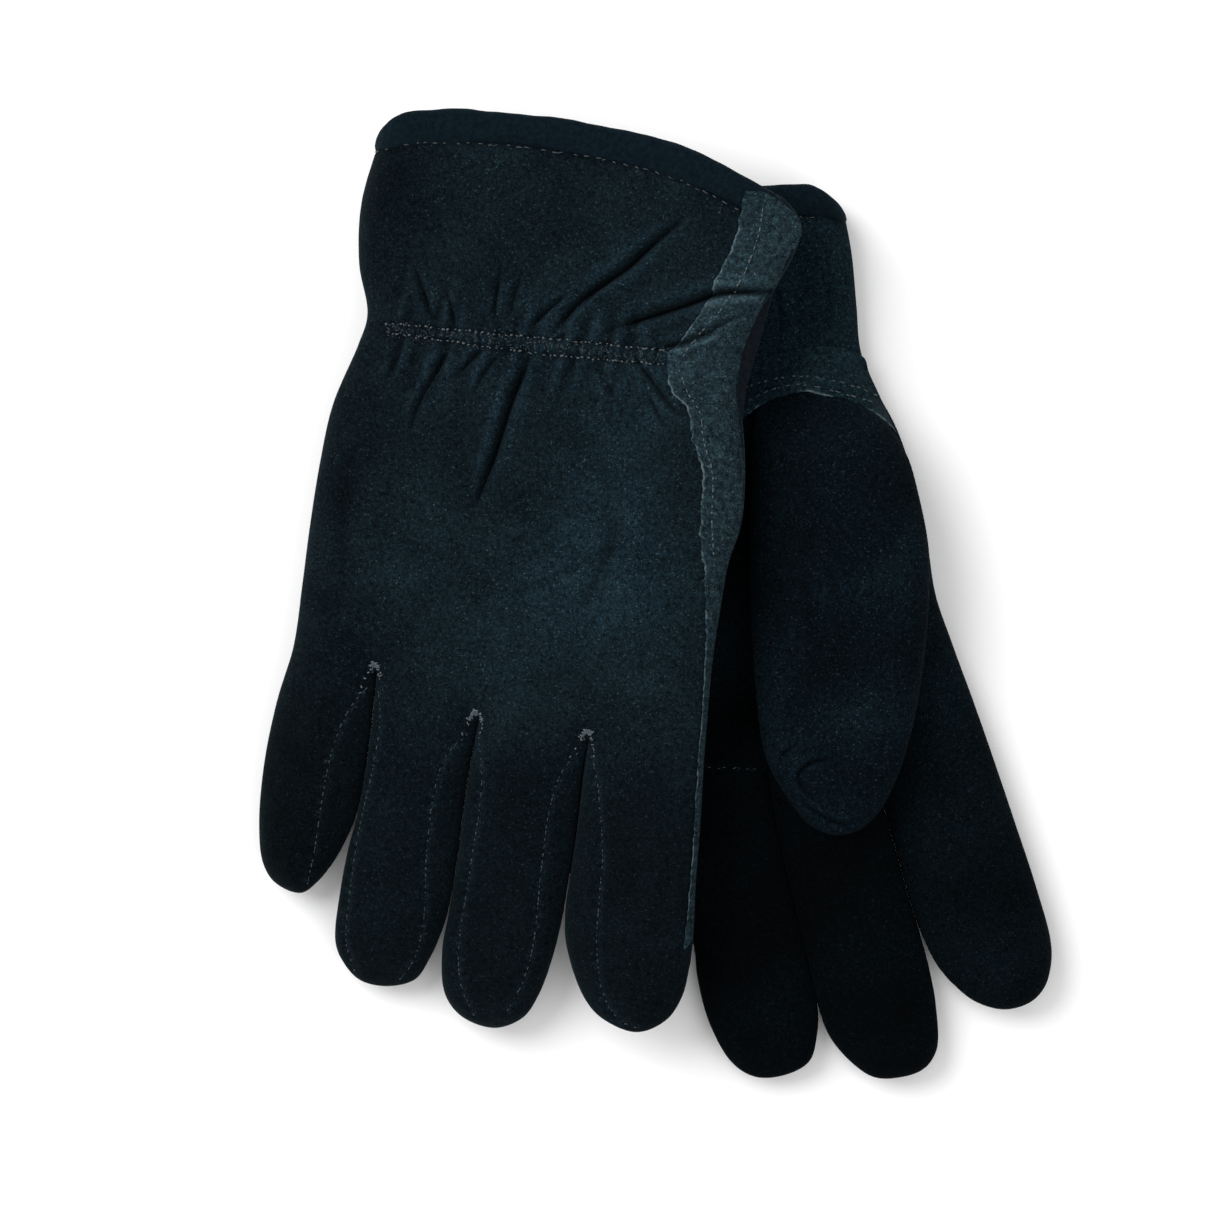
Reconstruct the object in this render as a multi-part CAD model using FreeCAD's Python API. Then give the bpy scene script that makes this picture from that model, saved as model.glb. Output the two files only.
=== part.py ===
"""A pair of lined suede work gloves, lying as a pair is laid out for sale.

The left glove lies palm up on the surface with its thumb folded over the palm. The right glove lies
palm down across it, with its own thumb folded underneath. Each glove is cut and sewn from a back
panel, a palm panel, a front piece for the two middle fingers, fourchettes between the fingers, a side
strip, a two-part thumb, cuff pieces and a bound mouth, over an elastic at the wrist and a soft lining.

Each glove is built flat in its own frame: +X towards the thumb side, +Y towards the cuff, Z up, with
the origin at the middle of the wrist and z = 0 on the underside. It is then placed in the row frame,
whose origin is the middle of the pair's footprint, on the surface. All lengths are millimetres.
"""

import FreeCAD, Part
import math
import os
from FreeCAD import Placement, Rotation, Vector

# Materials
SUEDE = 1.3  # thickness of the split suede
LINING = 1.6  # thickness of the pile lining
ELASTIC = 0.7  # thickness of the wrist elastic
SLIP = 0.1  # between the suede and the lining

# Hand, as seen from above: y, pinky edge, thumb edge, and its share of the full thickness
HAND = [
    (66.0, -58.0, 62.0, 1.20),
    (44.0, -59.0, 62.5, 1.20),
    (24.0, -59.0, 58.5, 1.05),
    (6.0, -54.5, 54.2, 0.86),
    (-2.0, -53.8, 53.5, 0.82),
    (-18.0, -58.5, 57.0, 0.92),
    (-42.0, -60.4, 61.0, 1.00),
    (-62.0, -60.5, 59.5, 1.00),
    (-80.0, -60.0, 58.0, 1.00),
    (-98.0, -60.5, 59.5, 0.98),
]
WRIST_Y = 0.0  # where the cuff pieces meet the hand panels
KNUCKLE_Y = -98.0  # where the fingers start
MOUTH_RADIUS = 185.0  # the cuff's mouth is cut to this arc
BINDING = 9.5  # width of the binding round the mouth
ELASTIC_WIDTH = 8.0
ELASTIC_ENDS = (-46.0, 32.0)  # the x it runs between

# Fingers: y, pinky-side edge and thumb-side edge at three stations, then the tip's x and y
FINGERS = {
    "pinky": ([(-98.0, -60.8, -35.5), (-125.0, -62.4, -34.8), (-147.0, -61.3, -37.2)], (-48.0, -165.5)),
    "ring": ([(-98.0, -34.9, -4.9), (-130.0, -34.2, -5.4), (-162.0, -34.6, -6.8)], (-20.0, -188.5)),
    "middle": ([(-98.0, -4.3, 27.3), (-133.0, -4.6, 27.2), (-166.0, -4.4, 27.2)], (12.0, -196.2)),
    "index": ([(-98.0, 27.9, 59.3), (-133.0, 27.9, 62.3), (-164.0, 29.0, 65.2)], (50.0, -190.3)),
}
ROOT_GAP = 1.3  # between the hand's pieces and each finger's
TIP_SHARES = (0.35, 0.65, 0.85, 0.97)  # how far along the rounded tip its cross-sections stand
TIP_SQUARENESS = 0.85  # 1 thins the tip as fast as it narrows, less keeps it thick
FOURCHETTE = 6.4  # height of the strip between a finger's front and back
KNUCKLE_SHARE = 0.47  # the middle knuckle, as a share of the finger's length
NOTCH_HALF = 32.0  # degrees, half the crease that the finger folds into
CREASE = 0.2  # half the slit below the crease

# Thumb: y, palm-side edge, outer edge, and its share of the full thickness; then the tip's x and y
THUMB = [
    (-10.5, 21.0, 46.0, 0.62),
    (-22.0, 17.0, 56.8, 0.82),
    (-41.5, 12.5, 60.2, 0.95),
    (-60.5, 8.6, 59.8, 1.00),
    (-76.0, 6.0, 55.2, 1.00),
    (-98.0, 4.2, 46.8, 1.00),
    (-112.0, 4.2, 39.6, 0.98),
]
THUMB_TIP = (14.5, -133.0)
THUMB_HOLE = (26.0, 48.0, -54.0, -28.0)  # where the thumb opens into the hand: x, x, y, y
HOLE_REACH = 5.5  # how deep the hole is cut into the palm side, past the suede and the lining
THUMB_AXIS_AT = (61.6, -50.0)
THUMB_AXIS_TURN = 4.5  # degrees from the glove's length
THUMB_CLEAR = 0.4  # between the folded thumb and the palm
THUMB_SAG = 0.195  # how fast the right thumb's end falls past the knuckles, so it clears the fingers

# Side strip, on the back: the y and x of its raw edge, from the mouth to the index finger
SIDE_STRIP = [
    (70.0, 50.8),
    (50.0, 50.6),
    (20.0, 44.0),
    (2.0, 34.0),
    (-10.0, 41.5),
    (-32.0, 49.4),
    (-65.0, 54.5),
    (-99.0, 56.0),
]

REST_TRIM = 0.05  # taken off the left glove's underside to leave a true flat to rest on
FAR = 400.0  # past everything

# The two gloves. edge_thickness is at the pinky side and the thumb side. roll lifts the thumb side and
# pitch lifts the cuff. reach stretches each finger. droop lowers each fingertip.
GLOVES = {
    "right": dict(
        palm_up=False,
        at=(-27.0, 70.0, 19.25),
        turn=-9.0,
        roll=12.5,
        pitch=1.0,
        widen=1.024,
        edge_thickness=(17.0, 12.0),
        mouth_apex=(-10.0, 63.0),
        thumb_thickness=8.0,
        thumb_reach=0.9,
        reach=dict(pinky=1.0, ring=1.0, middle=1.0, index=1.0),
        droop=dict(pinky=5.0, ring=8.0, middle=10.5, index=10.0),
        hinged=("pinky", "ring", "middle", "index"),
    ),
    "left": dict(
        palm_up=True,
        at=(7.7, 57.2, -REST_TRIM),
        turn=13.5,
        roll=0.0,
        pitch=0.0,
        widen=1.0,
        edge_thickness=(10.5, 16.0),
        mouth_apex=(0.0, 52.0),
        thumb_thickness=12.5,
        thumb_reach=1.0,
        reach=dict(pinky=1.02, ring=1.085, middle=1.085, index=1.03),
        droop=dict(pinky=0.0, ring=0.0, middle=0.0, index=0.0),
        hinged=("middle", "index"),
    ),
}


def section(y, left, right, mids, halves, inset, part="all"):
    """A rounded slab's closed outline at one y. mids are the heights of its two edges' middles and
    halves half its thickness there. part is all, upper or lower."""
    left_r, right_r = halves[0] - inset, halves[1] - inset
    left_x, right_x = left + inset + left_r, right - inset - right_r
    bend = math.sqrt(0.5)

    def left_at(side, up):
        return Vector(left_x - left_r * side, y, mids[0] + left_r * up)

    def right_at(side, up):
        return Vector(right_x + right_r * side, y, mids[1] + right_r * up)

    if part == "all":
        edges = [
            Part.LineSegment(left_at(0, -1), right_at(0, -1)),
            Part.Arc(right_at(0, -1), right_at(1, 0), right_at(0, 1)),
            Part.LineSegment(right_at(0, 1), left_at(0, 1)),
            Part.Arc(left_at(0, 1), left_at(1, 0), left_at(0, -1)),
        ]
    else:
        up = 1 if part == "upper" else -1
        edges = [
            Part.LineSegment(left_at(1, 0), right_at(1, 0)),
            Part.Arc(right_at(1, 0), right_at(bend, up * bend), right_at(0, up)),
            Part.LineSegment(right_at(0, up), left_at(0, up)),
            Part.Arc(left_at(0, up), left_at(bend, up * bend), left_at(1, 0)),
        ]
    return Part.Wire([edge.toShape() for edge in edges])


def box(x0, x1, y0, y1, z0, z1):
    return Part.makeBox(x1 - x0, y1 - y0, z1 - z0, Vector(x0, y0, z0))


def between(y0, y1):
    """All of space between two y."""
    return box(-FAR, FAR, y0, y1, -FAR, FAR)


def thickness(glove, x, share=1.0):
    """The hand's thickness at x, which tapers from one edge to the other."""
    left, right = glove["edge_thickness"]
    first, last = HAND[-1][1], HAND[-1][2]
    return share * (left + (right - left) * (x - first) / (last - first))


def hand_loft(glove, inset, part="all"):
    """The hand and cuff as one solid, or one half of it, inset from the outer surface."""
    left, right = glove["edge_thickness"]
    wires = []
    for y, x0, x1, share in HAND:
        halves = (left * share / 2, right * share / 2)
        wires.append(section(y, x0, x1, halves, halves, inset, part))
    return Part.makeLoft(wires, True, True)


def finger_outline(glove, name):
    """A finger's stations, as y, edges and thickness share, and its tip, stretched by its reach."""
    stations, (tip_x, tip_y) = FINGERS[name]
    reach = glove["reach"][name]

    def reached(y):
        return KNUCKLE_Y + (y - KNUCKLE_Y) * reach

    return [(reached(y), x0, x1, 1.0) for y, x0, x1 in stations], (tip_x, reached(tip_y))


def finger_size(glove, name):
    """A finger's full thickness."""
    stations, _ = FINGERS[name]
    _, x0, x1 = stations[0]
    return thickness(glove, (x0 + x1) / 2, HAND[-1][3])


def tube_loft(outline, full, base, inset, sag):
    """A finger or thumb with a rounded tip as one solid, inset all round but open at its root."""
    stations, (tip_x, tip_y) = outline

    def mids(y):
        middle = base + full / 2 - sag * max(KNUCKLE_Y - y, 0)
        return (middle, middle)

    wires = []
    for y, x0, x1, share in stations:
        half = full * share / 2
        wires.append(section(y, x0, x1, mids(y), (half, half), inset))
    last_y, x0, x1, share = stations[-1]
    for along in TIP_SHARES:
        size = math.sqrt(1 - along**2)
        y = last_y + (tip_y + inset - last_y) * along
        middle = (x0 + x1) / 2 * (1 - along**2) + tip_x * along**2
        half_width = ((x1 - x0) / 2 - inset) * size
        half = (full * share / 2 - inset) * size**TIP_SQUARENESS
        wires.append(section(y, middle - half_width, middle + half_width, mids(y), (half, half), 0))
    return Part.makeLoft(wires, True, True)


def walls(outline, full, base=0, sag=0):
    """The suede shell and the lining of a finger or thumb, each closed at the tip."""
    def wall(outside, inside):
        return tube_loft(outline, full, base, outside, sag).cut(tube_loft(outline, full, base, inside, sag))

    return wall(0, SUEDE), wall(SUEDE + SLIP, SUEDE + SLIP + LINING)


def crease(knuckle_y, middle, distal):
    """All of space on one side of a finger's fold line: a slit below the middle, and a crease above."""
    way = -1 if distal else 1
    near = knuckle_y + way * CREASE
    spread = FAR * math.tan(math.radians(NOTCH_HALF))
    outline = [
        Vector(-FAR, near, -FAR),
        Vector(-FAR, near, middle),
        Vector(-FAR, near + way * spread, middle + FAR),
        Vector(-FAR, knuckle_y + way * 2 * FAR, middle + FAR),
        Vector(-FAR, knuckle_y + way * 2 * FAR, -FAR),
    ]
    return Part.Face(Part.makePolygon(outline + outline[:1])).extrude(Vector(2 * FAR, 0, 0))


def knuckle_y(glove, name):
    """Where a finger folds, in the glove's frame before its droop."""
    _, (_, tip_y) = finger_outline(glove, name)
    return KNUCKLE_Y + KNUCKLE_SHARE * (tip_y - KNUCKLE_Y)


def droop(glove, name, shape):
    """Lowers a finger about its root."""
    turned = shape.copy()
    middle = finger_size(glove, name) / 2
    turned.rotate(Vector(0, KNUCKLE_Y, middle), Vector(1, 0, 0), glove["droop"][name])
    return turned


def finger_layers(glove, name):
    """A finger's pieces before it is folded: lower and upper walls, fourchettes and lining."""
    full = finger_size(glove, name)
    middle = full / 2
    outline = finger_outline(glove, name)
    shell, lining = walls(outline, full)
    _, x0, x1, _ = outline[0][0]
    first = (x0 + x1) / 2 if name == "pinky" else -FAR
    last = (x0 + x1) / 2 if name == "index" else FAR
    band = box(first, last, -FAR, FAR, middle - FOURCHETTE / 2, middle + FOURCHETTE / 2)
    lower = box(-FAR, FAR, -FAR, FAR, -FAR, middle)
    keep = between(-FAR, KNUCKLE_Y - ROOT_GAP)
    shell = shell.common(keep)
    rest = shell.cut(band)
    return {
        "low": rest.common(lower),
        "high": rest.cut(lower),
        "fourchette": shell.common(band),
        "lining": lining.common(keep),
    }


def strip_region():
    """All of space on the thumb side of the side strip's raw edge."""
    outline = [Vector(x, y, -FAR) for y, x in SIDE_STRIP]
    outline += [Vector(FAR, SIDE_STRIP[-1][0], -FAR), Vector(FAR, SIDE_STRIP[0][0], -FAR)]
    return Part.Face(Part.makePolygon(outline + outline[:1])).extrude(Vector(0, 0, 2 * FAR))


def mouth(glove, shorter):
    """All of space inside the arc that the cuff's mouth is cut to, drawn in by shorter."""
    x, y = glove["mouth_apex"]
    return Part.makeCylinder(MOUTH_RADIUS - shorter, 2 * FAR, Vector(x, y - MOUTH_RADIUS, -FAR))


def thumb_base(glove):
    """The height of the folded thumb's underside."""
    if glove["palm_up"]:
        return glove["edge_thickness"][1] + THUMB_CLEAR
    return -glove["thumb_thickness"] - THUMB_CLEAR


def thumb_outline(glove):
    """The thumb's stations and its tip, drawn in by its reach."""
    root_y = THUMB[0][0]

    def reached(y):
        return root_y + (y - root_y) * glove["thumb_reach"]

    stations = [(reached(y), x0, x1, share) for y, x0, x1, share in THUMB]
    return stations, (THUMB_TIP[0], reached(THUMB_TIP[1]))


def thumb_pieces(glove):
    """The thumb's outer pieces and lining, open where the hand meets it."""
    full, base = glove["thumb_thickness"], thumb_base(glove)
    x0, x1, y0, y1 = THUMB_HOLE
    lower = box(-FAR, FAR, -FAR, FAR, -FAR, base + full / 2)
    toward_hand = box(x0, x1, y0, y1, -FAR, FAR)
    toward_hand = toward_hand.common(lower) if glove["palm_up"] else toward_hand.cut(lower)
    shell, lining = walls(thumb_outline(glove), full, base, 0 if glove["palm_up"] else THUMB_SAG)
    shell = shell.cut(toward_hand)
    inside, outside = shell.common(lower), shell.cut(lower)
    if not glove["palm_up"]:
        inside, outside = outside, inside
    return {"thumb_front": inside, "thumb_back": outside, "thumb_lining": lining.cut(toward_hand)}


def hand_pieces(glove):
    """The cuff's and hand's pieces, without the fingers."""
    outer_of = {part: hand_loft(glove, 0, part) for part in ("upper", "lower")}
    inner = hand_loft(glove, SUEDE)
    back_part, palm_part = ("lower", "upper") if glove["palm_up"] else ("upper", "lower")
    back, palm = (outer_of[part].cut(inner) for part in (back_part, palm_part))
    inside_mouth = mouth(glove, BINDING + SLIP)
    cuff, hand = between(WRIST_Y, FAR), between(KNUCKLE_Y, WRIST_Y)
    strip = strip_region()

    x0, x1, y0, y1 = THUMB_HOLE
    if glove["palm_up"]:
        hole = box(x0, x1, y0, y1, glove["edge_thickness"][1] - HOLE_REACH, FAR)
    else:
        hole = box(x0, x1, y0, y1, -FAR, HOLE_REACH)

    elastic_x0, elastic_x1 = ELASTIC_ENDS
    elastic_zone = box(elastic_x0, elastic_x1, -ELASTIC_WIDTH / 2, ELASTIC_WIDTH / 2, -FAR, FAR)
    elastic_out = hand_loft(glove, SUEDE + SLIP / 2, back_part)
    elastic = elastic_out.cut(hand_loft(glove, SUEDE + SLIP / 2 + ELASTIC)).common(elastic_zone)
    elastic_seat = outer_of[back_part].cut(hand_loft(glove, SUEDE + SLIP + ELASTIC)).common(elastic_zone)

    cavity = hand_loft(glove, SUEDE + SLIP + LINING)
    lining = hand_loft(glove, SUEDE + SLIP).cut(cavity).common(inside_mouth)
    lining = lining.common(between(KNUCKLE_Y, FAR)).cut(hole).cut(elastic_seat)

    whole = hand_loft(glove, 0)
    binding = whole.cut(cavity).common(mouth(glove, 0)).cut(mouth(glove, BINDING))
    return {
        "cuff_back": back.common(cuff).common(inside_mouth).cut(strip),
        "cuff_palm": palm.common(cuff).common(inside_mouth),
        "back_panel": back.common(hand).cut(strip),
        "palm_panel": palm.common(hand).cut(hole),
        "side_strip": back.common(strip).common(inside_mouth).common(between(KNUCKLE_Y, FAR)),
        "cuff_binding": binding,
        "wrist_elastic": elastic,
        "hand_lining": lining,
    }


def placement(glove):
    """Takes a shape from the glove's frame to the row frame."""
    lift = Rotation(Vector(0, 1, 0), -glove["roll"]).multiply(Rotation(Vector(1, 0, 0), glove["pitch"]))
    turn = Rotation(Vector(0, 0, 1), glove["turn"])
    return Placement(Vector(*glove["at"]), turn.multiply(lift))


def placed(glove, shape):
    """A shape widened to the glove's width and put in its place in the row frame."""
    if glove["widen"] != 1.0:
        matrix = FreeCAD.Matrix()
        matrix.scale(glove["widen"], 1.0, 1.0)
        shape = shape.transformGeometry(matrix)
    shape = shape.copy()
    shape.Placement = placement(glove).multiply(shape.Placement)
    return shape


def glove_nodes(side):
    """Every node of one glove as {name: shape}, in the row frame."""
    glove = GLOVES[side]
    nodes = {name: [shape] for name, shape in {**hand_pieces(glove), **thumb_pieces(glove)}.items()}
    nodes["middle_ring_front"] = []
    nodes["fourchettes"] = []
    nodes["finger_linings"] = []
    back_layer, front_layer = ("low", "high") if glove["palm_up"] else ("high", "low")
    for finger in FINGERS:
        layers = finger_layers(glove, finger)
        front_node = "middle_ring_front" if finger in ("middle", "ring") else "palm_panel"
        root_and_tip_nodes = {
            back_layer: ("back_panel", "tip_back"),
            front_layer: (front_node, "tip_front"),
            "fourchette": ("fourchettes", "tip_fourchette"),
            "lining": ("finger_linings", "tip_lining"),
        }
        fold, middle = knuckle_y(glove, finger), finger_size(glove, finger) / 2
        for layer, shape in layers.items():
            root_node, tip_node = root_and_tip_nodes[layer]
            if finger in glove["hinged"]:
                tip = shape.common(crease(fold, middle, distal=True))
                nodes[f"{finger}_{tip_node}"] = [droop(glove, finger, tip)]
                shape = shape.common(crease(fold, middle, distal=False))
            nodes[root_node].append(droop(glove, finger, shape))
    under = box(-FAR, FAR, -FAR, FAR, -FAR, REST_TRIM)
    found = {}
    for name, shapes in nodes.items():
        solids = [solid for shape in shapes for solid in shape.Solids]
        if glove["palm_up"]:
            solids = [solid.cut(under) for solid in solids]
        solids = [solid for shape in solids for solid in placed(glove, shape).Solids]
        found[f"{side}_{name}"] = Part.makeCompound(solids)
    return found


def hinge(side, finger):
    """A finger's or the thumb's hinge in the row frame: a point on its axis, and the axis' direction."""
    glove = GLOVES[side]
    if finger == "thumb":
        turn = math.radians(THUMB_AXIS_TURN)
        at = Vector(THUMB_AXIS_AT[0] * glove["widen"], THUMB_AXIS_AT[1], thumb_base(glove))
        way = Vector(-math.sin(turn), math.cos(turn), 0)
    else:
        (_, x0, x1, _), *_ = finger_outline(glove, finger)[0]
        root_x = (x0 + x1) / 2
        middle = finger_size(glove, finger) / 2
        angle = math.radians(glove["droop"][finger])
        along = knuckle_y(glove, finger) - KNUCKLE_Y
        y, z = KNUCKLE_Y + along * math.cos(angle), middle + along * math.sin(angle)
        at = Vector(root_x * glove["widen"], y, z)
        way = Vector(-1, 0, 0)
    place = placement(glove)
    return place.multVec(at), place.Rotation.multVec(way)


def main():
    os.makedirs("parts", exist_ok=True)
    whole = FreeCAD.BoundBox()
    for side in GLOVES:
        for name, shape in glove_nodes(side).items():
            if not shape.Solids or not shape.isValid():
                raise RuntimeError(f"{name} has no valid solid")
            shape.exportStep(os.path.join("parts", name + ".step"))
            whole.add(shape.BoundBox)
    print("size", round(whole.XLength, 2), round(whole.YLength, 2), round(whole.ZLength, 2))
    print("middle", round(whole.Center.x, 2), round(whole.Center.y, 2), "lowest", round(whole.ZMin, 2))


if __name__ == "__main__":
    main()
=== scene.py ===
"""The looks of a pair of lined suede work gloves: the right one palm down across the left one palm up.

Each glove is drawn flat in its own frame, in millimetres: x towards the thumb side, y towards the cuff,
z up from its underside, with the origin at the middle of the wrist. Its skin is one triangulated sheet
inside the glove's outline, raised into an upper and a lower face that are sewn together round the edge.
"""

import math

import bpy
import numpy as np
from mathutils import Matrix, Vector
from mathutils.geometry import delaunay_2d_cdt
from mathutils.kdtree import KDTree


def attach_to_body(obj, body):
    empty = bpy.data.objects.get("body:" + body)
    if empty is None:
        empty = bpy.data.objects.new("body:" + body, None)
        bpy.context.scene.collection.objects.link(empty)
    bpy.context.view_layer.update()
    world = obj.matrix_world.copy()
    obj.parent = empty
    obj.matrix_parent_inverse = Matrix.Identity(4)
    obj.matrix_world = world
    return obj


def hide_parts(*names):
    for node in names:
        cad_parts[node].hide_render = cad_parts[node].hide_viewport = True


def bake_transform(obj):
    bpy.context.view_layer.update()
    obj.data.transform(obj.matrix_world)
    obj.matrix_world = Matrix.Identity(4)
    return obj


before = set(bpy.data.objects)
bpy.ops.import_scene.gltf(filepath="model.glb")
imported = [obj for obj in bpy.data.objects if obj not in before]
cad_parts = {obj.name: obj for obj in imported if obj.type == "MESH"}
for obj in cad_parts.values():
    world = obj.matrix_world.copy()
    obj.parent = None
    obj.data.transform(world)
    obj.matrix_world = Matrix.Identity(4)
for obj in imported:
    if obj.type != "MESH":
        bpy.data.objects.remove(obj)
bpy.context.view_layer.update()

MM = 0.001
KNUCKLE_Y = -98.0
FINGERS = ("pinky", "ring", "middle", "index")
FINGER_X = (-48.0, -19.9, 11.5, 43.6)  # the fingers' middles
EASE = 12.0  # the length over which a drooping finger bends at its knuckle
FOLD_HALF = 13.0  # a fold spreads this far along the finger, each way
EDGE_ROWS = (0.15, 0.5, 1.1, 2.0, 3.2)  # a skin's rows of points beside its sewn edge
ON_EDGE = 0.02  # nearer than this to the sewn line is on it
STRIP = 99
STRIP_WRAP = 5.0  # how far the right glove's strip goes on round its edge, under the hand

# Share of the full thickness at each y, the same for both gloves
SHARE_Y = (-98.0, -80.0, -42.0, -18.0, -2.0, 6.0, 24.0, 44.0, 66.0)
SHARE = (0.98, 1.0, 1.0, 0.92, 0.82, 0.86, 1.05, 1.2, 1.2)

RIGHT = dict(
    name="right",
    at=(-27.0, 70.0, 19.25),
    turn=-9.0,
    roll=12.5,
    pitch=1.0,
    widen=1.024,
    edge_thickness=(17.0, 12.0),
    droop=(5.0, 8.0, 10.5, 10.0),
    lean=0.043,
    tip_y=(-165.5, -188.5, -196.2, -190.3),
    back_up=True,
    hinged=FINGERS,
    runs=(
        [
            (-57.6, 47.0), (-59.6, 31.8), (-58.0, 14.8), (-53.8, 1.0), (-55.0, -7.8), (-59.4, -25.9),
            (-60.4, -43.3), (-60.5, -60.7), (-60.1, -77.9), (-59.9, -95.2), (-62.1, -112.8),
            (-62.8, -130.3), (-61.5, -147.4), (-58.6, -158.5), (-54.3, -163.6), (-46.5, -165.5),
            (-42.5, -161.7), (-39.2, -156.0), (-36.6, -149.0), (-34.7, -141.0), (-34.2, -125.7),
            (-34.9, -108.0), (-35.3, -99.4),
        ],
        [
            (-35.3, -99.4), (-34.5, -108.0), (-33.9, -125.7), (-34.3, -141.0), (-35.2, -150.0),
            (-35.6, -163.4), (-34.7, -177.8), (-31.9, -183.1), (-26.2, -188.0), (-18.3, -188.7),
            (-11.0, -185.6), (-8.0, -179.3), (-6.2, -173.0), (-4.9, -165.0), (-4.6, -149.9),
            (-5.1, -132.7), (-5.0, -117.0), (-4.4, -108.0),
        ],
        [
            (-4.4, -108.0), (-4.7, -117.0), (-4.8, -132.7), (-4.3, -149.9), (-4.5, -165.0), (-4.7, -175.9),
            (-2.0, -188.5), (3.7, -194.4), (13.2, -196.4), (20.9, -192.0), (24.3, -184.8), (26.4, -174.8),
            (27.5, -163.0), (27.6, -150.5), (27.4, -133.3), (26.8, -118.0), (27.2, -108.7),
        ],
        [
            (27.2, -108.7), (27.2, -118.0), (27.8, -133.3), (28.0, -150.5), (28.3, -160.0), (30.0, -168.6),
            (37.2, -182.7), (43.4, -188.1), (54.1, -190.5), (61.7, -185.6), (65.0, -178.3), (65.7, -170.5),
            (65.5, -161.9), (63.6, -144.9), (62.1, -127.8), (60.3, -110.8), (58.7, -93.7), (57.9, -79.4),
            (57.9, -65.0), (58.2, -53.1), (60.0, -42.1), (59.2, -29.7), (56.8, -16.7), (54.4, -7.8),
            (53.8, -2.1), (54.6, 6.6), (58.4, 22.6), (63.0, 35.0), (64.0, 40.0),
        ],
    ),
    hem=[
        (64.0, 40.0), (48.4, 46.0), (28.7, 52.2), (11.0, 54.3), (-6.4, 54.7), (-23.6, 54.0), (-44.8, 51.3),
        (-57.6, 47.0),
    ],
)
LEFT = dict(
    name="left",
    at=(7.7, 57.2, 0.0),
    turn=13.5,
    roll=0.0,
    pitch=0.0,
    widen=1.0,
    edge_thickness=(10.5, 16.0),
    droop=(0.0, 0.0, 0.0, 0.0),
    lean=0.0,
    tip_y=(-167.0, -196.4, -204.6, -193.2),
    back_up=False,
    hinged=("middle", "index"),
    runs=(
        [
            (-57.4, 38.0), (-59.2, 28.0), (-57.8, 14.8), (-53.8, 1.0), (-55.0, -7.8), (-59.4, -25.9),
            (-60.4, -43.3), (-60.5, -60.7), (-60.1, -77.9), (-59.9, -95.2), (-62.1, -112.8),
            (-62.8, -130.3), (-61.5, -149.4), (-58.6, -160.0), (-54.3, -165.0), (-46.5, -167.0),
            (-42.5, -163.2), (-39.4, -156.5), (-37.2, -147.9), (-35.2, -138.0), (-34.6, -125.7),
            (-35.2, -108.0), (-35.3, -99.4),
        ],
        [
            (-35.3, -99.4), (-34.2, -108.0), (-33.6, -125.7), (-33.2, -140.0), (-33.2, -155.4),
            (-34.3, -163.8), (-34.0, -177.1), (-30.3, -189.7), (-24.7, -195.2), (-16.1, -196.6),
            (-8.7, -194.4), (-4.9, -187.8), (-2.9, -180.5), (-2.65, -164.1), (-2.55, -137.7),
            (-2.0, -120.2), (-0.9, -110.3),
        ],
        [
            (-0.9, -110.3), (-1.85, -120.2), (-2.4, -137.7), (-2.5, -164.1), (-2.6, -180.0),
            (-1.4, -189.0), (2.9, -197.5), (8.0, -203.0), (14.2, -204.8), (22.4, -204.2), (27.4, -199.7),
            (30.1, -188.0), (30.8, -177.0), (30.5, -165.5), (29.65, -151.4), (28.8, -127.7),
            (28.0, -116.0), (27.9, -108.4),
        ],
        [
            (27.9, -108.4), (28.2, -116.0), (29.0, -127.7), (29.85, -151.4), (30.8, -165.0),
            (33.0, -175.6), (36.6, -182.8), (41.6, -189.0), (49.2, -193.0), (56.8, -192.6), (61.7, -189.3),
            (65.0, -183.3), (66.4, -176.8), (65.9, -160.0), (64.4, -142.1), (62.8, -124.1), (61.0, -106.1),
            (58.9, -88.0), (57.5, -73.0), (58.6, -59.1), (59.3, -47.4), (59.0, -35.5), (57.6, -23.3),
            (54.3, -10.7), (53.0, -0.1), (54.8, 12.5), (56.9, 27.3), (57.4, 36.4),
        ],
    ),
    hem=[
        (57.4, 36.4), (50.0, 40.0), (38.2, 42.4), (20.0, 44.6), (0.0, 46.0), (-22.0, 45.5), (-42.0, 43.0),
        (-57.4, 38.0),
    ],
)
BAND = 9.0  # the binding's width
WALL = 3.0  # suede and lining together

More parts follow.
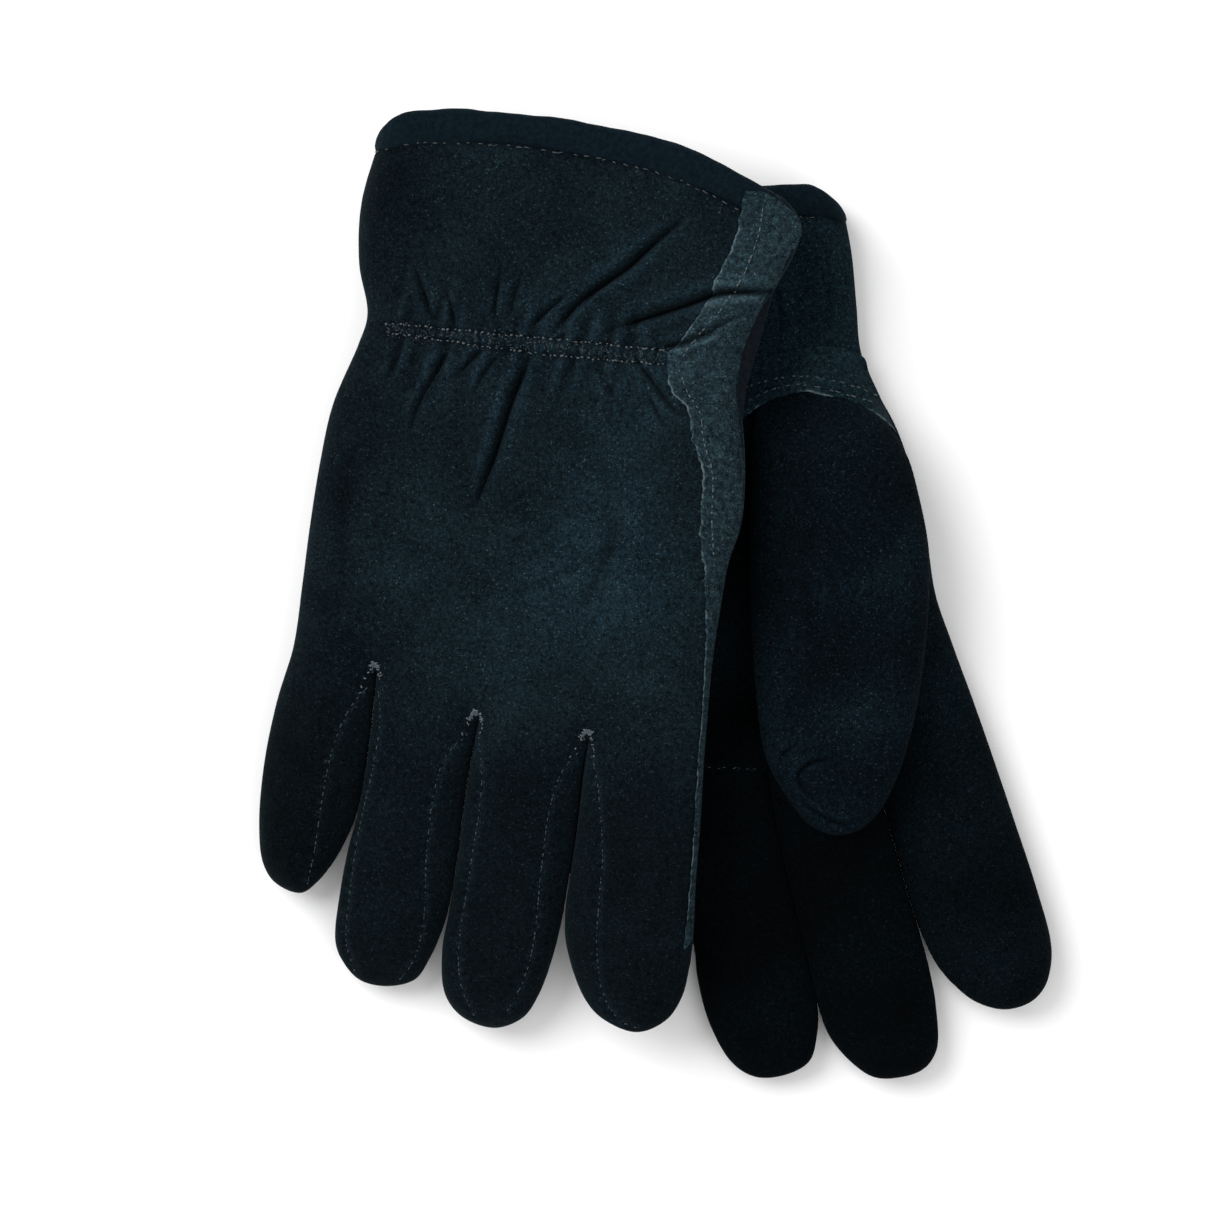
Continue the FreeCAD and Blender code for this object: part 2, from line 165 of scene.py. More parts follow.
# Right glove's upper face, the back of the hand: valleys as depth, width and points
BACK_FOLDS = [
    (1.1, 1.5, [(-42.0, 18.3), (-38.0, 11.0), (-34.4, 3.0)]),
    (0.9, 1.3, [(-31.3, 11.8), (-29.0, 7.0), (-27.4, 1.5)]),
    (1.0, 1.4, [(-16.0, 19.4), (-16.5, 12.0), (-16.3, 4.0)]),
    (1.1, 1.5, [(5.6, 17.2), (0.0, 11.5), (-6.2, 4.4)]),
    (2.0, 2.0, [(37.5, 45.5), (31.1, 38.9), (24.9, 31.9), (18.3, 24.2), (7.8, 14.5), (0.6, 4.0)]),
    (2.3, 1.9, [(74.0, 27.6), (58.0, 24.2), (45.1, 21.3), (37.9, 17.6), (25.6, 11.5), (16.2, 6.8)]),
    (0.8, 1.5, [(-9.5, 20.0), (-11.5, 13.0), (-12.2, 5.0)]),
    (0.8, 1.4, [(16.0, 22.0), (9.0, 14.0), (3.8, 6.0)]),
    (0.7, 1.3, [(38.0, -21.0), (33.0, -14.0), (27.5, -6.0)]),
    (0.7, 1.3, [(-20.0, -20.0), (-17.4, -12.0), (-13.2, -4.0)]),
    (1.3, 1.6, [(56.0, 17.4), (48.9, 14.5), (43.1, 9.8), (37.0, 6.2), (29.7, 3.6)]),
    (1.0, 1.6, [(-35.4, -34.3), (-33.1, -20.5), (-26.6, -3.2)]),
    (0.9, 1.4, [(-25.6, -14.3), (-22.0, -9.0), (-17.8, -3.3)]),
    (2.0, 2.0, [(-15.2, -55.4), (-12.9, -46.2), (-10.4, -34.5), (-7.8, -16.5), (-4.4, -3.4)]),
    (1.3, 1.5, [(42.4, -16.2), (36.6, -12.0), (31.2, -7.0), (25.0, -0.7)]),
    (0.7, 1.6, [(22.2, -15.2), (18.0, -9.0), (14.1, -2.8)]),
    (0.7, 1.4, [(-44.0, -18.0), (-41.5, -10.0), (-41.0, -3.0)]),
    (0.45, 2.4, [(-6.0, -74.0), (10.0, -66.0), (22.0, -58.0), (32.0, -50.0)]),
    (0.35, 2.0, [(2.0, -57.0), (10.0, -49.0), (18.0, -43.0)]),
    (0.5, 5.0, [(-48.0, -30.0), (-50.0, -55.0), (-46.0, -80.0)]),
    (0.6, 6.0, [(20.0, -30.0), (26.0, -52.0), (20.0, -75.0)]),
]
FOLD_DEPTH = 1.45  # how much deeper the folds are drawn than listed
# Gentle swellings as height, width and points
BACK_SWELLS = [
    (0.9, 2.6, [(-12.3, -5.3), (-14.6, -18.0), (-17.0, -34.0)]),
    (0.8, 3.0, [(6.0, 25.0), (-2.0, 18.0), (-9.0, 10.0)]),
    (1.0, 3.2, [(14.0, 29.0), (26.0, 42.0)]),
    (1.2, 3.4, [(52.0, 27.5), (40.0, 24.0), (28.0, 18.0), (18.0, 12.0)]),
    (0.5, 4.0, [(-45.0, 47.0), (-10.0, 50.0), (25.0, 48.0), (45.0, 42.0)]),
]
# Seams across and along the fingers, seen on the back of the right glove
BACK_SEAMS = [
    [(-36.2, -103.0), (-40.0, -110.0), (-42.4, -119.9), (-43.2, -138.4), (-43.4, -153.4), (-44.5, -163.5)],
    [
        (-33.6, -103.0), (-31.4, -110.8), (-30.9, -125.8), (-32.2, -144.0), (-31.7, -163.7),
        (-30.6, -177.0), (-27.0, -186.0),
    ],
    [
        (-6.2, -112.0), (-11.0, -119.0), (-12.6, -130.2), (-11.8, -149.3), (-10.2, -166.6),
        (-11.2, -178.6), (-15.0, -186.5),
    ],
    [
        (-3.2, -112.0), (-0.4, -121.0), (0.8, -131.8), (0.6, -154.9), (0.8, -172.0), (3.2, -184.0),
        (8.0, -192.5),
    ],
    [
        (25.6, -112.0), (21.9, -118.3), (20.1, -130.2), (20.6, -147.8), (21.6, -168.5), (20.4, -180.1),
        (16.9, -190.1),
    ],
    [
        (29.0, -112.0), (32.5, -119.8), (35.3, -130.4), (37.4, -140.4), (38.4, -152.1), (39.9, -166.7),
        (43.5, -179.9), (48.4, -186.8), (54.1, -188.4),
    ],
]
TACKS = [(-35.3, -98.4), (-4.5, -106.8), (27.1, -107.4)]
# The lighter strip down the thumb side of the back: its raw edge, from the mouth to the index finger
STRIP_EDGE = [
    (48.9, 50.9), (48.4, 43.0), (47.5, 34.8), (45.3, 27.8), (43.2, 20.3), (38.0, 9.4), (33.3, 1.9),
    (34.3, -3.5), (36.6, -8.0), (41.6, -12.2), (43.8, -19.2), (48.1, -28.2), (49.4, -38.0), (50.9, -48.9),
    (53.1, -57.4), (54.8, -68.0), (56.4, -82.0), (58.0, -98.0), (59.6, -115.0), (61.4, -132.0),
    (62.8, -148.0), (64.0, -164.0),
]
STRIP_END = (65.5, -161.9)  # where it ends on the index finger's edge
# Its top end, a loose tab over the binding's end
TAB_EDGE = [(54.2, 51.6), (59.6, 49.2), (64.4, 45.8), (65.6, 42.0), (64.8, 38.0)]
TAB_Y = 36.0  # where the tab leaves the glove's edge
ELASTIC_ROWS = (
    [(-47.4, -0.7), (-24.0, 0.4), (0.4, 1.9), (23.1, 3.0), (33.0, 3.5)],
    [(-47.0, -3.4), (-24.0, -3.2), (1.1, -2.7), (26.4, -0.9), (33.0, -0.5)],
)

# Left glove's upper face, the palm
PALM_FOLDS = [
    (0.7, 1.8, [(30.0, 32.0), (33.0, 20.0), (31.0, 8.0)]),
    (0.6, 1.6, [(46.0, 30.0), (47.0, 18.0), (44.0, 6.0)]),
    (0.5, 2.0, [(8.0, -140.0), (14.0, -141.5), (22.0, -140.0)]),
    (0.5, 2.2, [(38.0, -128.0), (48.0, -130.0), (58.0, -127.0)]),
    (0.4, 2.0, [(-26.0, -140.0), (-17.0, -142.0), (-8.0, -140.0)]),
]
PALM_SEAMS = [
    [(-34.0, -106.5), (-20.6, -105.5), (2.9, -111.2), (14.0, -113.0), (27.4, -110.0)],
]
# Where the cuff laps over the thumb's root: the lap's raw edge, then its rows of stitches
LAP_EDGE = [
    (12.0, -13.0), (17.6, -10.3), (22.5, -8.6), (28.1, -7.7), (34.3, -8.1), (40.7, -11.2), (46.5, -15.0),
    (51.4, -17.8), (54.8, -21.6), (57.0, -25.6),
]
LAP_OUTER = [
    (12.0, 3.0), (28.0, 4.5), (44.0, 3.0), (53.2, -2.0), (53.8, -7.0), (55.4, -15.0), (57.2, -24.6),
]
LAP_ROWS = (
    [(14.0, -3.4), (21.3, -2.5), (34.1, -3.3), (41.5, -6.1), (51.0, -11.3), (54.5, -14.0)],
    [(15.0, -8.0), (23.8, -5.4), (29.0, -5.3), (35.0, -6.2), (43.9, -10.6), (47.1, -12.4), (53.0, -15.6)],
)
THUMB_OUTLINE = [
    (22.0, -7.4), (34.8, -7.0), (45.4, -12.8), (54.0, -21.0), (58.2, -32.0), (58.9, -43.5), (58.0, -60.5),
    (54.0, -76.5), (46.8, -97.0), (40.4, -110.6), (34.0, -121.2), (26.4, -129.6), (19.5, -133.0),
    (13.0, -132.6), (7.0, -128.4), (2.6, -119.6), (-0.8, -106.7), (0.6, -89.3), (5.2, -63.7),
    (11.6, -35.8), (18.0, -14.0),
]
RIGHT_THUMB_OUTLINE = [(min(x, 50.0), -10.5 + (y + 10.5) * 0.9) for x, y in THUMB_OUTLINE]
THUMB_CREASES = [
    (1.2, 1.2, [(12.0, -124.0), (8.0, -119.0), (6.8, -114.0), (10.6, -111.0), (17.0, -111.2)]),
    (1.2, 1.1, [(3.0, -113.5), (5.4, -119.5), (9.8, -125.3), (15.0, -129.3), (21.0, -130.6)]),
    (0.9, 1.0, [(1.0, -110.0), (4.0, -106.8), (8.0, -105.2)]),
    (0.5, 3.0, [(30.0, -40.0), (22.0, -60.0), (20.0, -82.0)]),
]

rng = np.random.RandomState(7)


# ---------------------------------------------------------------- lines in the plane


def resample(line, step):
    """The line's points, evenly spaced about step apart."""
    line = np.asarray(line, float)
    along = np.r_[0, np.cumsum(np.linalg.norm(np.diff(line, axis=0), axis=1))]
    count = max(2, int(round(along[-1] / step)) + 1)
    at = np.linspace(0, along[-1], count)
    return np.stack([np.interp(at, along, line[:, i]) for i in range(line.shape[1])], axis=1)


def curve(points, step, closed=False):
    """A smooth line through the points."""
    points = np.asarray(points, float)
    if closed:
        points = np.vstack([points[-1:], points, points[:2]])
    else:
        points = np.vstack([2 * points[0] - points[1], points, 2 * points[-1] - points[-2]])
    found = []
    for p0, p1, p2, p3 in zip(points[:-3], points[1:-2], points[2:-1], points[3:]):
        runs = ((p0, p1), (p1, p2), (p2, p3))
        knots = np.cumsum([0] + [max(np.linalg.norm(b - a), 1e-6) ** 0.5 for a, b in runs])
        t = np.linspace(knots[1], knots[2], 12, endpoint=False)[:, None]
        t0, t1, t2, t3 = knots
        a1 = (t1 - t) / (t1 - t0) * p0 + (t - t0) / (t1 - t0) * p1
        a2 = (t2 - t) / (t2 - t1) * p1 + (t - t1) / (t2 - t1) * p2
        a3 = (t3 - t) / (t3 - t2) * p2 + (t - t2) / (t3 - t2) * p3
        b1 = (t2 - t) / (t2 - t0) * a1 + (t - t0) / (t2 - t0) * a2
        b2 = (t3 - t) / (t3 - t1) * a2 + (t - t1) / (t3 - t1) * a3
        found.append((t2 - t) / (t2 - t1) * b1 + (t - t1) / (t2 - t1) * b2)
    return resample(np.vstack(found + [points[-2:-1]]), step)


def along_line(line, steps, at):
    """Points on the line, where steps gives each of its own points' place and at the places wanted."""
    return np.stack([np.interp(at, steps, line[:, i]) for i in range(2)], axis=1)


def nearest(points, line):
    """Each point's distance to the finely spaced line, its share of the way along, and its side of it."""
    tree = KDTree(len(line))
    for i, (x, y) in enumerate(line):
        tree.insert((x, y, 0), i)
    tree.balance()
    close = np.array([tree.find((x, y, 0))[1] for x, y in points], dtype=int)
    lengths = np.linalg.norm(np.diff(line, axis=0), axis=1)
    before = np.r_[0, np.cumsum(lengths)]
    best = np.full((3, len(points)), np.inf)
    for first in (np.maximum(close - 1, 0), np.minimum(close, len(line) - 2)):
        run = line[first + 1] - line[first]
        away = points - line[first]
        share = np.clip((away * run).sum(1) / np.maximum((run**2).sum(1), 1e-12), 0, 1)
        gap = np.linalg.norm(away - share[:, None] * run, axis=1)
        side = np.sign(run[:, 0] * away[:, 1] - run[:, 1] * away[:, 0])
        found = np.stack([gap, (before[first] + share * lengths[first]) / before[-1], side])
        best = np.where(gap < best[0], found, best)
    return best


def inside(points, ring):
    """Whether each point is inside the closed ring."""
    x, y = points[:, 0], points[:, 1]
    found = np.zeros(len(points), bool)
    for (x0, y0), (x1, y1) in zip(ring, np.roll(ring, -1, axis=0)):
        crosses = (y0 > y) != (y1 > y)
        found ^= crosses & (x < (x1 - x0) * (y - y0) / (y1 - y0 + 1e-12) + x0)
    return found


def smoothstep(low, high, value):
    t = np.clip((value - low) / (high - low), 0, 1)
    return t * t * (3 - 2 * t)


def rounded(share):
    """A quarter circle's height, from 0 at 0 to 1 at 1."""
    return np.sqrt(np.maximum(1 - (1 - share) ** 2, 0))


def waves(points, size, seed, count=14):
    """Smooth unevenness of about -1 to 1 whose bumps are about size across."""
    random = np.random.RandomState(seed)
    angle = random.uniform(0, math.tau, count)
    pitch = math.tau / (size * random.uniform(1.3, 3.0, count))
    phase = random.uniform(0, math.tau, count)
    ways = np.stack([np.cos(angle), np.sin(angle)]) * pitch
    return np.sin(points @ ways + phase).sum(1) / math.sqrt(count)


def triangulate(ring, rings, step, lines=()):
    """Triangles inside the ring, with rows of points along its edge and along the lines."""
    centre_line = np.vstack([ring, ring[:1]])
    run = np.roll(ring, -1, axis=0) - np.roll(ring, 1, axis=0)
    normal = np.stack([-run[:, 1], run[:, 0]], axis=1)
    normal /= np.linalg.norm(normal, axis=1)[:, None]
    if not inside(ring[:1] + normal[:1] * 0.05, ring)[0]:
        normal = -normal
    extra = [np.empty((0, 2))]
    for depth in rings:
        row = ring + normal * depth
        row = row[inside(row, ring)]
        extra.append(row[nearest(row, centre_line)[0] > depth * 0.93])
    for line, offsets in lines:
        way = np.gradient(line, axis=0)
        way = np.stack([-way[:, 1], way[:, 0]], axis=1) / np.linalg.norm(way, axis=1)[:, None]
        for side in offsets:
            row = line + way * side
            row = row[inside(row, ring)]
            extra.append(row[nearest(row, centre_line)[0] > rings[-1] + 0.3])
    low, high = ring.min(0), ring.max(0)
    tall = step * 0.866
    rows = np.arange(low[1], high[1], tall)
    grid = []
    for i, y in enumerate(rows):
        x = np.arange(low[0] + (i % 2) * step / 2, high[0], step)
        grid.append(np.stack([x, np.full(len(x), y)], axis=1))
    grid = np.vstack(grid)
    grid = grid[inside(grid, ring)]
    grid = grid[nearest(grid, centre_line)[0] > rings[-1] + step * 0.6]
    for line, offsets in lines:
        grid = grid[nearest(grid, line)[0] > max(offsets) + step * 0.45]
    points = np.vstack([ring] + extra + [grid])
    found = delaunay_2d_cdt([Vector(p) for p in points], [], [list(range(len(ring)))], 1, 1e-5)
    verts = np.array([tuple(v) for v in found[0]])
    faces = np.array([f for f in found[2] if len(f) == 3])
    a, b, c = verts[faces[:, 0]], verts[faces[:, 1]], verts[faces[:, 2]]
    turn = (b[:, 0] - a[:, 0]) * (c[:, 1] - a[:, 1]) - (b[:, 1] - a[:, 1]) * (c[:, 0] - a[:, 0])
    faces[turn < 0] = faces[turn < 0][:, ::-1]
    return verts, faces


# ---------------------------------------------------------------- gloves


class Glove:
    """One glove's outline, thickness and relief, and the way from its own frame to the row frame."""

    def __init__(self, facts, upper_relief, lower_relief, tone):
        self.__dict__.update(facts)
        self.tone = tone
        runs = [curve(run, 0.9) for run in self.runs]
        self.sewn = np.vstack([runs[0]] + [run[1:] for run in runs[1:]])
        self.hem_line = curve(self.hem, 1.1)
        self.ring = np.vstack([self.sewn, self.hem_line[1:-1]])
        self.relief = {1: upper_relief, -1: lower_relief}
        # Between two fingers, the edge of the one on the thumb's side, from its tip up to the crotch
        self.borders = [run[: np.argmin(run[:, 1]) + 1][::-1] for run in runs[1:]]
        turn = Matrix.Rotation(math.radians(self.turn), 3, "Z")
        roll = Matrix.Rotation(math.radians(-self.roll), 3, "Y")
        pitch = Matrix.Rotation(math.radians(self.pitch), 3, "X")
        self.matrix = np.array(turn @ roll @ pitch)
        self.fold_y = [KNUCKLE_Y + 0.47 * (tip - KNUCKLE_Y) for tip in self.tip_y]

    def thickness(self, xy):
        left, right = self.edge_thickness
        across = np.clip((xy[:, 0] + 60) / 120, -0.1, 1.1)
        return (left + (right - left) * across) * np.interp(xy[:, 1], SHARE_Y, SHARE)

    def profile(self, xy):
        """How full the glove is, from 0 at the sewn edge to 1."""
        gap = nearest(xy, self.sewn)[0]
        radius = np.interp(xy[:, 1], (-98, -60, -10, 10, 40), (15.5, 16.0, 13.0, 10.0, 9.0))
        return rounded(np.clip(gap / radius, 0, 1))

    def height(self, xy, face):
        """The skin's height. face is 1 for the upper face and -1 for the lower."""
        half = self.thickness(xy) / 2
        full = self.profile(xy)
        relief = self.relief[face](xy)
        return half + face * (half * full + relief * smoothstep(0, 0.75, full))

    def point(self, xy, face, lift=0.0):
        """Points on the skin in the glove's frame, raised off it by lift."""
        xy = np.atleast_2d(np.asarray(xy, float))
        z = self.height(xy, face)
        found = np.column_stack([xy, z])
        if np.any(lift):
            found = found + self.normal(xy, face) * np.reshape(lift, (-1, 1))
        return found

    def normal(self, xy, face, reach=0.6):
        dx = (self.height(xy + (reach, 0), face) - self.height(xy - (reach, 0), face)) / (2 * reach)
        dy = (self.height(xy + (0, reach), face) - self.height(xy - (0, reach), face)) / (2 * reach)
        way = np.column_stack([-dx, -dy, np.ones(len(xy))]) * face
        return way / np.linalg.norm(way, axis=1)[:, None]

    def to_row(self, points):
        """From the glove's frame to the row frame, in metres, with the fingers lowered."""
        points = np.array(points, float)
        angle = np.radians(np.interp(points[:, 0], FINGER_X, self.droop))
        beyond = np.maximum(KNUCKLE_Y - points[:, 1], 0)
        eased = np.where(beyond < EASE, beyond**2 / (2 * EASE), beyond - EASE / 2)
        slope = np.clip(beyond / EASE, 0, 1) * angle
        middle = self.thickness(points) / 2
        rise = points[:, 2] - middle
        points[:, 1] += eased * (1 - np.cos(angle)) - rise * np.sin(slope)
        points[:, 2] = middle + rise * np.cos(slope) - eased * np.sin(angle)
        points[:, 0] = points[:, 0] * self.widen - self.lean * beyond * (0.9 + points[:, 0] / 300)
        placed = points @ self.matrix.T + np.array(self.at)
        placed[:, 2] = np.maximum(placed[:, 2], 0.0)
        return placed * MM

    def finger_of(self, xy):
        """For each point, 0 for the hand or 1 + the index of the hinged finger it belongs to."""
        column = np.zeros(len(xy), int)
        for line in self.borders:
            column += xy[:, 0] > np.interp(xy[:, 1], line[:, 1], line[:, 0]) - 0.05
        cuts = np.array([self.fold_y[i] + 16 if FINGERS[i] in self.hinged else -999 for i in range(4)])
        return np.where(xy[:, 1] < cuts[column], column + 1, 0)

    def hinge(self, finger):
        """Where the finger's fold is in the row frame: just before it, and just after."""
        i = FINGERS.index(finger)
        half = self.thickness(np.array([[FINGER_X[i], KNUCKLE_Y]]))[0] / 2
        spots = np.array([[FINGER_X[i], self.fold_y[i] + way * FOLD_HALF, half] for way in (1, -1)])
        return [tuple(p) for p in self.to_row(spots)]


def about(xy, line, reach):
    """Which points could be within reach of the line."""
    low, high = line.min(0) - reach, line.max(0) + reach
    return np.flatnonzero(((xy > low) & (xy < high)).all(1))


def beside(xy, points, reach, step=0.9):
    """Which points could be within reach of the line, and nearest's three measures of them."""
    line = curve(points, step)
    some = about(xy, line, reach)
    return some, *(nearest(xy[some], line) if len(some) else np.empty((3, 0)))


def valleys(xy, folds):
    """The relief of folds: a dark valley with a low ridge on its outer side."""
    total = np.zeros(len(xy))
    for depth, width, points in folds:
        some, gap, along, side = beside(xy, points, 5 * width, 0.8)
        fade = smoothstep(0, 0.45, along) * (1 - 0.75 * smoothstep(0.8, 1.0, along))
        signed = gap * side
        width = width * (0.5 + 0.5 * fade)
        shape = -np.exp(-((gap / (0.42 * width)) ** 1.5))
        shape += 0.5 * np.exp(-(((signed - 1.3 * width) / (0.8 * width)) ** 2))
        shape += 0.3 * np.exp(-(((signed + 1.5 * width) / (1.1 * width)) ** 2))
        total[some] += depth * fade * shape
    return total


def swells(xy, ridges):
    total = np.zeros(len(xy))
    for height, width, points in ridges:
        some, gap, along, _ = beside(xy, points, 3 * width, 1.0)
        total[some] += height * np.sin(np.pi * np.clip(along, 0, 1)) ** 0.6 * np.exp(-((gap / width) ** 2))
    return total


def seam_relief(xy, seams, depth=0.55, width=0.8):
    """Grooves along seams, with the leather puffed up beside them."""
    total = np.zeros(len(xy))
    for points in seams:
        some, gap, along, _ = beside(xy, points, 6)
        pucker = 1 + 0.25 * np.sin(along * len(points) * 26)
        total[some] += 0.3 * depth * np.exp(-(((gap - 2.1) / 1.2) ** 2))
        total[some] -= depth * np.exp(-((gap / width) ** 2)) * pucker
    return total


def gathers(xy, rows, reach, seed):
    """Small pleats where the elastic draws the leather in, and a ladder of them between its stitches."""
    middle = curve([((a[0] + b[0]) / 2, (a[1] + b[1]) / 2) for a, b in zip(*rows)], 1.0)
    total = np.zeros(len(xy))
    some = about(xy, middle, 2.5 * reach)
    near_xy = xy[some]
    gap, along, _ = nearest(near_xy, middle)
    random = np.random.RandomState(seed)
    pleats = np.zeros(len(some))
    for _ in range(6):
        pitch = random.uniform(3.8, 9.0)
        lean = random.uniform(-0.25, 0.25)
        pleats += np.sin((near_xy[:, 0] + lean * near_xy[:, 1]) * math.tau / pitch + random.uniform(0, 6))
    ladder = np.sin(near_xy[:, 0] * math.tau / 2.35 + 1.3 * np.sin(near_xy[:, 0] / 3.1))
    between = np.exp(-((gap / 1.7) ** 2))
    ends = smoothstep(0, 0.06, along) * smoothstep(0, 0.06, 1 - along)
    near = np.exp(-((gap / reach) ** 2))
    total[some] = ends * (near * pleats * 0.3 * (1 - 0.8 * between) + between * (0.2 + 0.45 * ladder))
    for row in rows:
        some, gap, _, _ = beside(xy, row, 4)
        total[some] -= 0.75 * np.exp(-((gap / 0.8) ** 2))
    return total


def back_relief(xy):
    total = FOLD_DEPTH * valleys(xy, BACK_FOLDS) + swells(xy, BACK_SWELLS)
    total += seam_relief(xy, BACK_SEAMS)
    total += gathers(xy, ELASTIC_ROWS, 13.0, 3)
    total += 0.5 * waves(xy, 22, 11) + 0.18 * waves(xy, 7, 12) + 0.06 * waves(xy, 2.6, 13)
    return total


def palm_relief(xy):
    total = valleys(xy, PALM_FOLDS) + seam_relief(xy, PALM_SEAMS, 0.5, 0.9)
    total += 0.35 * waves(xy, 20, 21) + 0.12 * waves(xy, 6, 22)
    return np.minimum(total, 0.6)


def hidden_relief(xy):
    """The faces that lie downwards: nearly flat, with the seams between the fingers."""
    total = seam_relief(xy, BACK_SEAMS, 0.45, 0.9)
    row = [(-52.0, -1.0), (-20.0, 0.5), (20.0, 0.5), (52.0, -1.0)]
    total += seam_relief(xy, [row], 0.5, 1.0)
    return total + 0.15 * waves(xy, 9, 31) - 0.15


def spot(xy, at, size):
    """1 at the place, falling to 0 over the size given across and along."""
    return np.exp(-(((xy - at) / size) ** 2).sum(1))


def raw_edges(xy, seams, strength):
    """The pale fuzz of cut edges beside the seams."""
    total = np.zeros(len(xy))
    for points in seams:
        some, gap, _, _ = beside(xy, points, 3)
        uneven = np.clip(0.6 + 0.5 * waves(xy[some], 1.3, 71), 0.1, 2)
        total[some] = np.maximum(total[some], strength * uneven * np.exp(-(((gap - 0.55) / 0.5) ** 2)))
    return total


def hem_shade(glove, xy):
    """Painted shade in the crease where the cuff goes in under the binding."""
    return 1 - 0.6 * np.exp(-((nearest(xy, glove.hem_line)[0] / 1.1) ** 2))


def fold_shade(xy):
    """Painted light on the ridges and painted shade in the folds."""
    return np.exp(0.75 * np.clip(valleys(xy, BACK_FOLDS), -2.0, 0.8))


def back_tone_and_shade(glove, xy):
    """How light the right glove's suede is, palest in the middle of the hand, with painted shade in its
    folds, pleats and hem crease and painted light on their ridges.
    """
    tone = 0.86 + 0.35 * spot(xy, (18.0, -62.0), (32.0, 44.0)) + 0.12 * waves(xy, 26, 81)
    tone *= 1 - 0.42 * smoothstep(-22, -56, xy[:, 0])
    # Darker on the fingers: partly the suede's own colour, partly painted shade where they droop away.
    tone *= 1 - 0.52 * smoothstep(-98, -130, xy[:, 1])
    # Painted shade in the folds, the elastic's pleats and its stitch grooves, painted light on their
    # ridges.
    tone *= fold_shade(xy) * np.exp(0.6 * np.clip(gathers(xy, ELASTIC_ROWS, 13.0, 3), -1.2, 0.8))
    tone += 0.5 * tone * spot(xy, (-8.0, 0.0), (44.0, 2.6)) * np.clip(0.6 + 0.6 * waves(xy, 1.3, 82), 0, 2)
    # hem_shade adds painted shade in the crease under the binding.
    tone = np.minimum(tone, 1.45) * hem_shade(glove, xy)
    return tone + raw_edges(xy, BACK_SEAMS, 0.45)


def palm_tone_and_shade(glove, xy):
    """The left glove's tone: lighter on the cuff and almost black towards the fingers, partly the palm
    side's own darker suede and partly painted shade.
    """
    # Falling almost to black towards the hand: partly the palm side's own darker suede, partly painted
    # shade.
    tone = 1.3 - 1.0 * smoothstep(2, -40, xy[:, 1]) + 0.12 * waves(xy, 24, 83)
    tone += 0.4 * smoothstep(24, 36, xy[:, 0]) * smoothstep(-20, -60, xy[:, 1])
    # Darker again on the fingers: partly the suede's own colour, partly painted shade.
    tone *= 1 - 0.45 * smoothstep(-90, -125, xy[:, 1])
    # hem_shade adds painted shade in the crease under the binding.
    return np.maximum(tone, 0.12) * hem_shade(glove, xy) + raw_edges(xy, PALM_SEAMS, 0.3)


# ---------------------------------------------------------------- meshes


def make_mesh(name, verts, faces, material, normals=None, tone=None):
    """A smooth mesh object. verts are in the row frame, in metres. tone lightens or darkens its suede,
    with painted light and shade as well as the suede's own mottling, and past 1.6 it turns into the pale
    fibres of a raw edge."""
    mesh = bpy.data.meshes.new(name)
    mesh.from_pydata([tuple(v) for v in verts], [], [tuple(int(i) for i in f) for f in faces])
    mesh.validate()
    mesh.polygons.foreach_set("use_smooth", [True] * len(mesh.polygons))
    if normals is not None:
        mesh.normals_split_custom_set_from_vertices([tuple(n) for n in normals])
    tone = np.ones(len(verts)) if tone is None else np.asarray(tone, float)
    shade = mesh.attributes.new("tone", "FLOAT", "POINT")
    shade.data.foreach_set("value", np.minimum(tone, 1.7))
    raw = mesh.attributes.new("raw", "FLOAT", "POINT")
    raw.data.foreach_set("value", np.clip((tone - 1.6) / 3, 0, 1))
    piece = bpy.data.objects.new(name, mesh)
    bpy.context.scene.collection.objects.link(piece)
    mesh.materials.append(material)
    return piece


def vertex_normals(verts, faces):
    a, b, c = (verts[faces[:, i]] for i in range(3))
    flat = np.cross(b - a, c - a)
    found = np.zeros_like(verts)
    for i in range(3):
        np.add.at(found, faces[:, i], flat)
    return found / np.maximum(np.linalg.norm(found, axis=1), 1e-20)[:, None]


def split_mesh(verts, faces, group, tone):
    """The mesh's pieces as {group: (verts, faces, normals, tone)}, with normals that match at the cuts."""
    normals = vertex_normals(verts, faces)
    found = {}
    for key in sorted(set(group.tolist())):
        some = faces[group == key]
        used, local = np.unique(some, return_inverse=True)
        found[key] = (verts[used], local.reshape(some.shape), normals[used], tone[used])
    return found


def sewn_faces(glove, upper, lower, on_edge, tris):
    """Verts in the row frame and faces of an upper and a lower face that share the points on the edge."""
    count = len(upper)
    below = np.where(on_edge, np.arange(count), np.arange(count) + count)
    return glove.to_row(np.vstack([upper, lower])), np.vstack([tris, below[tris][:, ::-1]])


def skin(glove, lines=()):
    """The glove's outer skin, split into its parts: 0 and 1 for the hand's upper and lower face, 2 and more
    for the fingers, and STRIP for what shows of the side strip from below."""
    flat, tris = triangulate(glove.ring, EDGE_ROWS, 1.1, lines)
    upper = glove.point(flat, 1)
    lower = glove.point(flat, -1)
    edge = nearest(flat, glove.sewn)[0] < ON_EDGE
    upper[edge, 2] = lower[edge, 2] = glove.thickness(flat[edge]) / 2
    verts, faces = sewn_faces(glove, upper, lower, edge, tris)
    centres = flat[tris].mean(1)
    finger = glove.finger_of(centres)
    lower_group = np.where(finger > 0, finger * 2, 1)
    if glove.back_up:
        in_strip = (nearest(centres, glove.sewn)[0] < STRIP_WRAP) & (centres[:, 0] > 40)
    else:
        edge_x = np.interp(-centres[:, 1], [-y for _, y in STRIP_EDGE], [x for x, _ in STRIP_EDGE])
        in_strip = (centres[:, 0] > edge_x) & (centres[:, 1] > KNUCKLE_Y)
    lower_group[(lower_group == 1) & in_strip] = STRIP
    tone = np.r_[glove.tone(glove, flat), np.full(len(flat), 0.8)]
    return split_mesh(verts, faces, np.r_[finger * 2, lower_group], tone)


